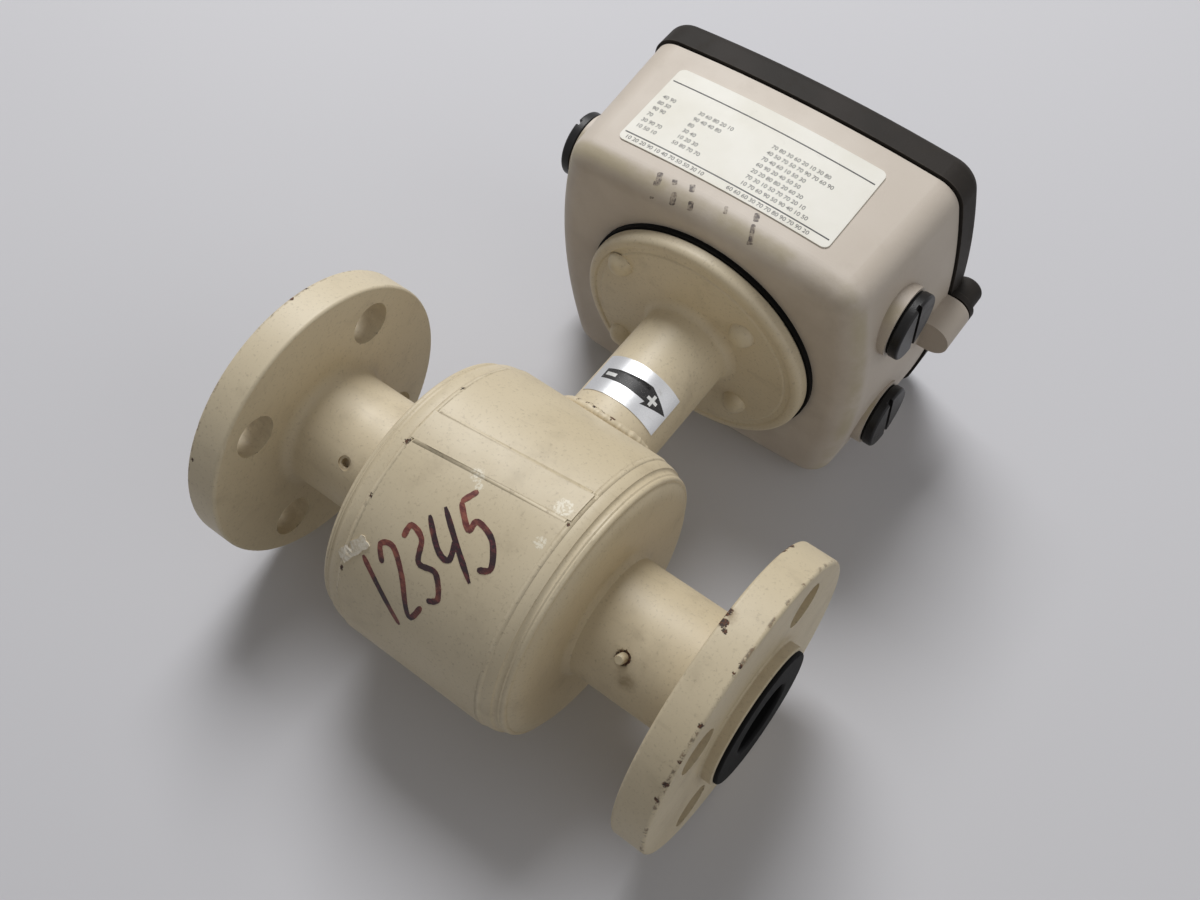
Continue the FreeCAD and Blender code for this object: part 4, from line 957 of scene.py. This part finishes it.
def print_arrow():
    """Flow arrow on the foil, with a minus at its tail and a plus in its head."""
    onto = onto_round(skin("flow_label"), "z", FOIL_R)
    tail, neck, tip = [math.radians(a) * FOIL_R
                       for a in (ARROW_TAIL_ANGLE, ARROW_HEAD_ANGLE, ARROW_TIP_ANGLE)]
    shaft = ARROW_SHAFT_H / 2
    head = ARROW_HEAD_H / 2
    outline = [(tail, -shaft), (neck, -shaft), (neck - BARB, -head), (tip, 0),
               (neck - BARB, head), (neck, shaft), (tail, shaft)]
    arrow = gather([(polygon(outline), (0, ARROW_Z))])
    lay("flow_arrow", slice_up(arrow, FOIL_STEP), onto, "ink")
    minus = bar(tail + MINUS_START, ARROW_Z - MINUS_HALF, tail + MINUS_END, ARROW_Z + MINUS_HALF)
    lay("flow_arrow_minus", slice_up(minus, FOIL_STEP), onto, "foil_mark", INK_HEIGHT + HIGHER)
    middle = (neck + PLUS_START, ARROW_Z)
    plus = gather([
        (bar(-PLUS_ARM, -PLUS_HALF, PLUS_ARM, PLUS_HALF), middle),
        (bar(-PLUS_HALF, PLUS_HALF, PLUS_HALF, PLUS_ARM), middle),
        (bar(-PLUS_HALF, -PLUS_ARM, PLUS_HALF, -PLUS_HALF), middle),
    ])
    lay("flow_arrow_plus", slice_up(plus, FOIL_STEP), onto, "foil_mark", INK_HEIGHT + HIGHER)


# --- what a peeled sticker left at the edge of the drum ---------------------------------------
SCRAP_HEIGHT = 0.32
SCRAP_STEP = 2.0                       # length of the flat steps round the drum
SCRAP_TEARS = 6                        # points along each side
SCRAP_TORN_TURN = 0.3                  # how far they lie aside, in degrees round the drum
SCRAP_TORN_X = 0.25                    # and in x
# Angle about +X in degrees, and x, of each corner.
SCRAP_CORNERS = [
    (-121.6, -27.8), (-124.0, -31.4), (-130.5, -28.4),
    (-136.2, -24.6), (-133.8, -21.2), (-128.0, -24.2),
]


def stick_scrap():
    """Scrap of torn paper."""
    chance = random.Random(8)
    outline = []
    for (a, x), (b, far) in zip(SCRAP_CORNERS, SCRAP_CORNERS[1:] + SCRAP_CORNERS[:1]):
        for step in range(SCRAP_TEARS):
            t = step / SCRAP_TEARS
            angle = a + (b - a) * t + chance.uniform(-SCRAP_TORN_TURN, SCRAP_TORN_TURN)
            along = x + (far - x) * t + chance.uniform(-SCRAP_TORN_X, SCRAP_TORN_X)
            outline.append((math.radians(angle) * DRUM_R, along))
    flat = slice_up(polygon(outline), SCRAP_STEP)
    lay("sticker_scrap", flat, onto_drum(), "scrap_paper", SCRAP_HEIGHT)


# --- the weld round the foot of the neck ----------------------------------------------------
BEAD_R = 1.75
BEAD_OUT = 0.9                         # middle of the bead, out from the neck
BEAD_UP = 1.1                          # and up from the drum
BEAD_STEPS = 260
BEAD_SIDES = 10
BEAD_WAVES = (6, 13, 27, 34, 47, 58, 73, 88)
BEAD_WAVE = 0.9                        # height of a wave that would go once round
BEAD_SWELL = 0.22                      # share of the radius that the waves add
BEAD_ROUGH = 0.05                      # share that varies from step to step


def lay_weld():
    """Low, uneven weld bead where the neck meets the drum."""
    chance = random.Random(2)
    waves = [(count, BEAD_WAVE / count ** 0.5, chance.uniform(0, 2 * math.pi))
             for count in BEAD_WAVES]
    solid = bmesh.new()
    rings = []
    for step in range(BEAD_STEPS):
        turn = 2 * math.pi * step / BEAD_STEPS
        out = Vector((math.cos(turn), math.sin(turn), 0))
        foot = out * (FOIL_R + BEAD_OUT)
        foot.z = math.sqrt((DRUM_R + BEAD_UP) ** 2 - foot.y ** 2)
        swell = sum(size * math.sin(count * turn + phase) for count, size, phase in waves)
        spread = BEAD_R * (1 + BEAD_SWELL * swell + chance.uniform(-BEAD_ROUGH, BEAD_ROUGH))
        ring = []
        for side in range(BEAD_SIDES):
            lean = 2 * math.pi * side / BEAD_SIDES
            point = foot + (out * math.cos(lean) + Vector((0, 0, 1)) * math.sin(lean)) * spread
            ring.append(solid.verts.new(point * MM))
        rings.append(ring)
    for ring, after in zip(rings, rings[1:] + rings[:1]):
        for side in range(BEAD_SIDES):
            beside = (side + 1) % BEAD_SIDES
            solid.faces.new((ring[side], ring[beside], after[beside], after[side]))
    bmesh.ops.recalc_face_normals(solid, faces=solid.faces[:])
    smooth(piece_of("neck_weld", solid, "housing_paint"))


# --- paint that has run into the steps of the drum --------------------------------------------
STRAP_RISE = 2.3                       # z of the lap strip's middle line at x = 0
STRAP_HALF_W = 5.7
STRAP_TURN = 6.0                       # degrees
SEAM_X = 28.5                          # half the length of the rolled sheet
RAMP = 1.2                             # width of a ramp beyond the step
STRAP_LAP = 0.15                       # width of a ramp on the strip
SEAM_LAP = 0.7                         # and on the sheet
RAMP_STEP = 3.0
RAMP_HEIGHT = 0.02
SEAM_STEPS = 160


def fill_strap_edges():
    """Narrow ramps along both edges of the lap strip on the front of the drum."""
    onto = onto_front(skin("housing_shell"))
    slope = math.tan(math.radians(STRAP_TURN))
    reach = STRAP_HALF_W / math.cos(math.radians(STRAP_TURN))
    far = SEAM_X - RAMP
    for name, side in (("upper", 1), ("lower", -1)):
        corners = []
        inner = reach - STRAP_LAP
        outer = reach + RAMP
        for x, off in ((-far, inner), (far, inner), (far, outer), (-far, outer)):
            corners.append((x, STRAP_RISE + slope * x + side * off))
        flat = slice_up(polygon(corners), RAMP_STEP)
        smooth(lay(f"strap_edge_{name}", flat, onto, "housing_paint", RAMP_HEIGHT))


def fill_seams():
    """Ramps from the edges of the sheet down to both end caps."""
    onto = onto_drum()
    for name, side in (("inlet", -1), ("outlet", 1)):
        ring = bmesh.new()
        rows = []
        for step in range(SEAM_STEPS):
            arc = 2 * math.pi * DRUM_R * step / SEAM_STEPS
            ends = (SEAM_X - SEAM_LAP, SEAM_X + RAMP)
            rows.append([ring.verts.new((arc, side * x, 0)) for x in ends])
        for (a, b), (c, d) in zip(rows, rows[1:] + rows[:1]):
            ring.faces.new((a, b, d, c))
        smooth(lay(f"seam_{name}", ring, onto, "housing_paint", RAMP_HEIGHT))


fill_strap_edges()
fill_seams()
write_number()
write_ghosts()
print_front_label()
print_arrow()
stick_scrap()
lay_weld()

# --- floor ----------------------------------------------------------------------------------


def floor_finish():
    """Pale floor. It shows from its upper side only, so that it hides nothing from behind, and
    most of the bounced light passes it, so that the lying side isn't lost in the dark."""
    f = Finish("floor")
    f.look(f.mix(f.noise(400, 2), shade(208, 208, 212), shade(202, 202, 207)), 0.85)
    clear = f.tree.nodes.new("ShaderNodeBsdfTransparent")
    behind = f.tree.nodes.new("ShaderNodeNewGeometry").outputs["Backfacing"]
    bounced = f.tree.nodes.new("ShaderNodeLightPath").outputs["Is Diffuse Ray"]
    passed = f.math("MAXIMUM", behind, f.times(bounced, FLOOR_PASSES))
    either = f.tree.nodes.new("ShaderNodeMixShader")
    f.link(either.inputs[0], passed)
    f.link(either.inputs[1], f.shader.outputs["BSDF"])
    f.link(either.inputs[2], clear.outputs["BSDF"])
    f.link(f.output.inputs["Surface"], either.outputs["Shader"])
    return f.material


def lay_floor():
    """Plane under the lying meter, which rests on both flange rims and on the lid's edge."""
    lid_low, lid_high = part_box("box_lid")
    edge = Vector((lid_high.y, (lid_low.z + lid_high.z) / 2))
    lean = math.acos(RIM_R * MM / edge.length) - math.atan2(edge.y, edge.x)
    up = Vector((0, -math.cos(lean), math.sin(lean)))
    level = min(up.dot(v.co) for piece in nodes.values() for v in piece.data.vertices)
    side = Vector((1, 0, 0))
    front = up.cross(side)
    corners = [up * level + side * FLOOR_HALF * a + front * FLOOR_HALF * b
               for a, b in ((-1, -1), (1, -1), (1, 1), (-1, 1))]
    mesh = bpy.data.meshes.new("floor")
    mesh.from_pydata(corners, [], [(0, 1, 2, 3)])
    if mesh.polygons[0].normal.dot(up) < 0:
        mesh.flip_normals()
    mesh.materials.append(floor_finish())
    floor = bpy.data.objects.new("floor", mesh)
    bpy.context.scene.collection.objects.link(floor)


lay_floor()

# --- lamps, world and camera ----------------------------------------------------------------


def add_lamp(name, toward, level, size):
    """Square lamp that gives a white surface facing it the brightness level."""
    data = bpy.data.lights.new(name, "AREA")
    data.size = size
    data.energy = level * (math.pi * LAMP_DISTANCE) ** 2
    lamp = bpy.data.objects.new(name, data)
    middle = (cad_box[0] + cad_box[1]) / 2
    lamp.location = middle + toward.normalized() * LAMP_DISTANCE
    lamp.rotation_mode = "QUATERNION"
    lamp.rotation_quaternion = toward.to_track_quat("Z", "Y")
    bpy.context.scene.collection.objects.link(lamp)


def studio_world():
    """Even light on the object, with a pale backdrop behind it and in its reflections."""
    world = bpy.data.worlds.new("studio")
    world.use_nodes = True
    tree = world.node_tree
    light = tree.nodes["Background"]
    light.inputs["Color"].default_value = WORLD_COLOUR
    light.inputs["Strength"].default_value = WORLD_LEVEL
    backdrop = tree.nodes.new("ShaderNodeBackground")
    backdrop.inputs["Color"].default_value = BACKDROP_COLOUR
    backdrop.inputs["Strength"].default_value = BACKDROP_LEVEL
    path = tree.nodes.new("ShaderNodeLightPath")
    seen = path.outputs["Is Camera Ray"]
    for ray in ("Is Glossy Ray", "Is Transmission Ray"):
        either = tree.nodes.new("ShaderNodeMath")
        either.operation = "MAXIMUM"
        tree.links.new(seen, either.inputs[0])
        tree.links.new(path.outputs[ray], either.inputs[1])
        seen = either.outputs[0]
    mixed = tree.nodes.new("ShaderNodeMixShader")
    tree.links.new(seen, mixed.inputs[0])
    tree.links.new(light.outputs[0], mixed.inputs[1])
    tree.links.new(backdrop.outputs[0], mixed.inputs[2])
    tree.links.new(mixed.outputs[0], tree.nodes["World Output"].inputs["Surface"])
    return world


def add_camera():
    """Camera at CAMERA_AT, whose picture's right and down are the named directions."""
    lens = bpy.data.cameras.new("camera")
    lens.lens = LENS_MM
    lens.sensor_width = SENSOR_MM
    camera = bpy.data.objects.new("camera", lens)
    right = CAMERA_RIGHT.normalized()
    behind = right.cross(-CAMERA_DOWN).normalized()
    turn = Matrix((right, behind.cross(right), behind)).transposed()
    camera.matrix_world = Matrix.Translation(CAMERA_AT) @ turn.to_4x4()
    bpy.context.scene.collection.objects.link(camera)
    return camera


add_lamp("key", KEY_TOWARD, KEY_LEVEL, KEY_SIZE)
add_lamp("fill", FILL_TOWARD, FILL_LEVEL, FILL_SIZE)
bpy.context.scene.world = studio_world()
bpy.context.scene.camera = add_camera()
bpy.context.scene.view_settings.view_transform = "Standard"
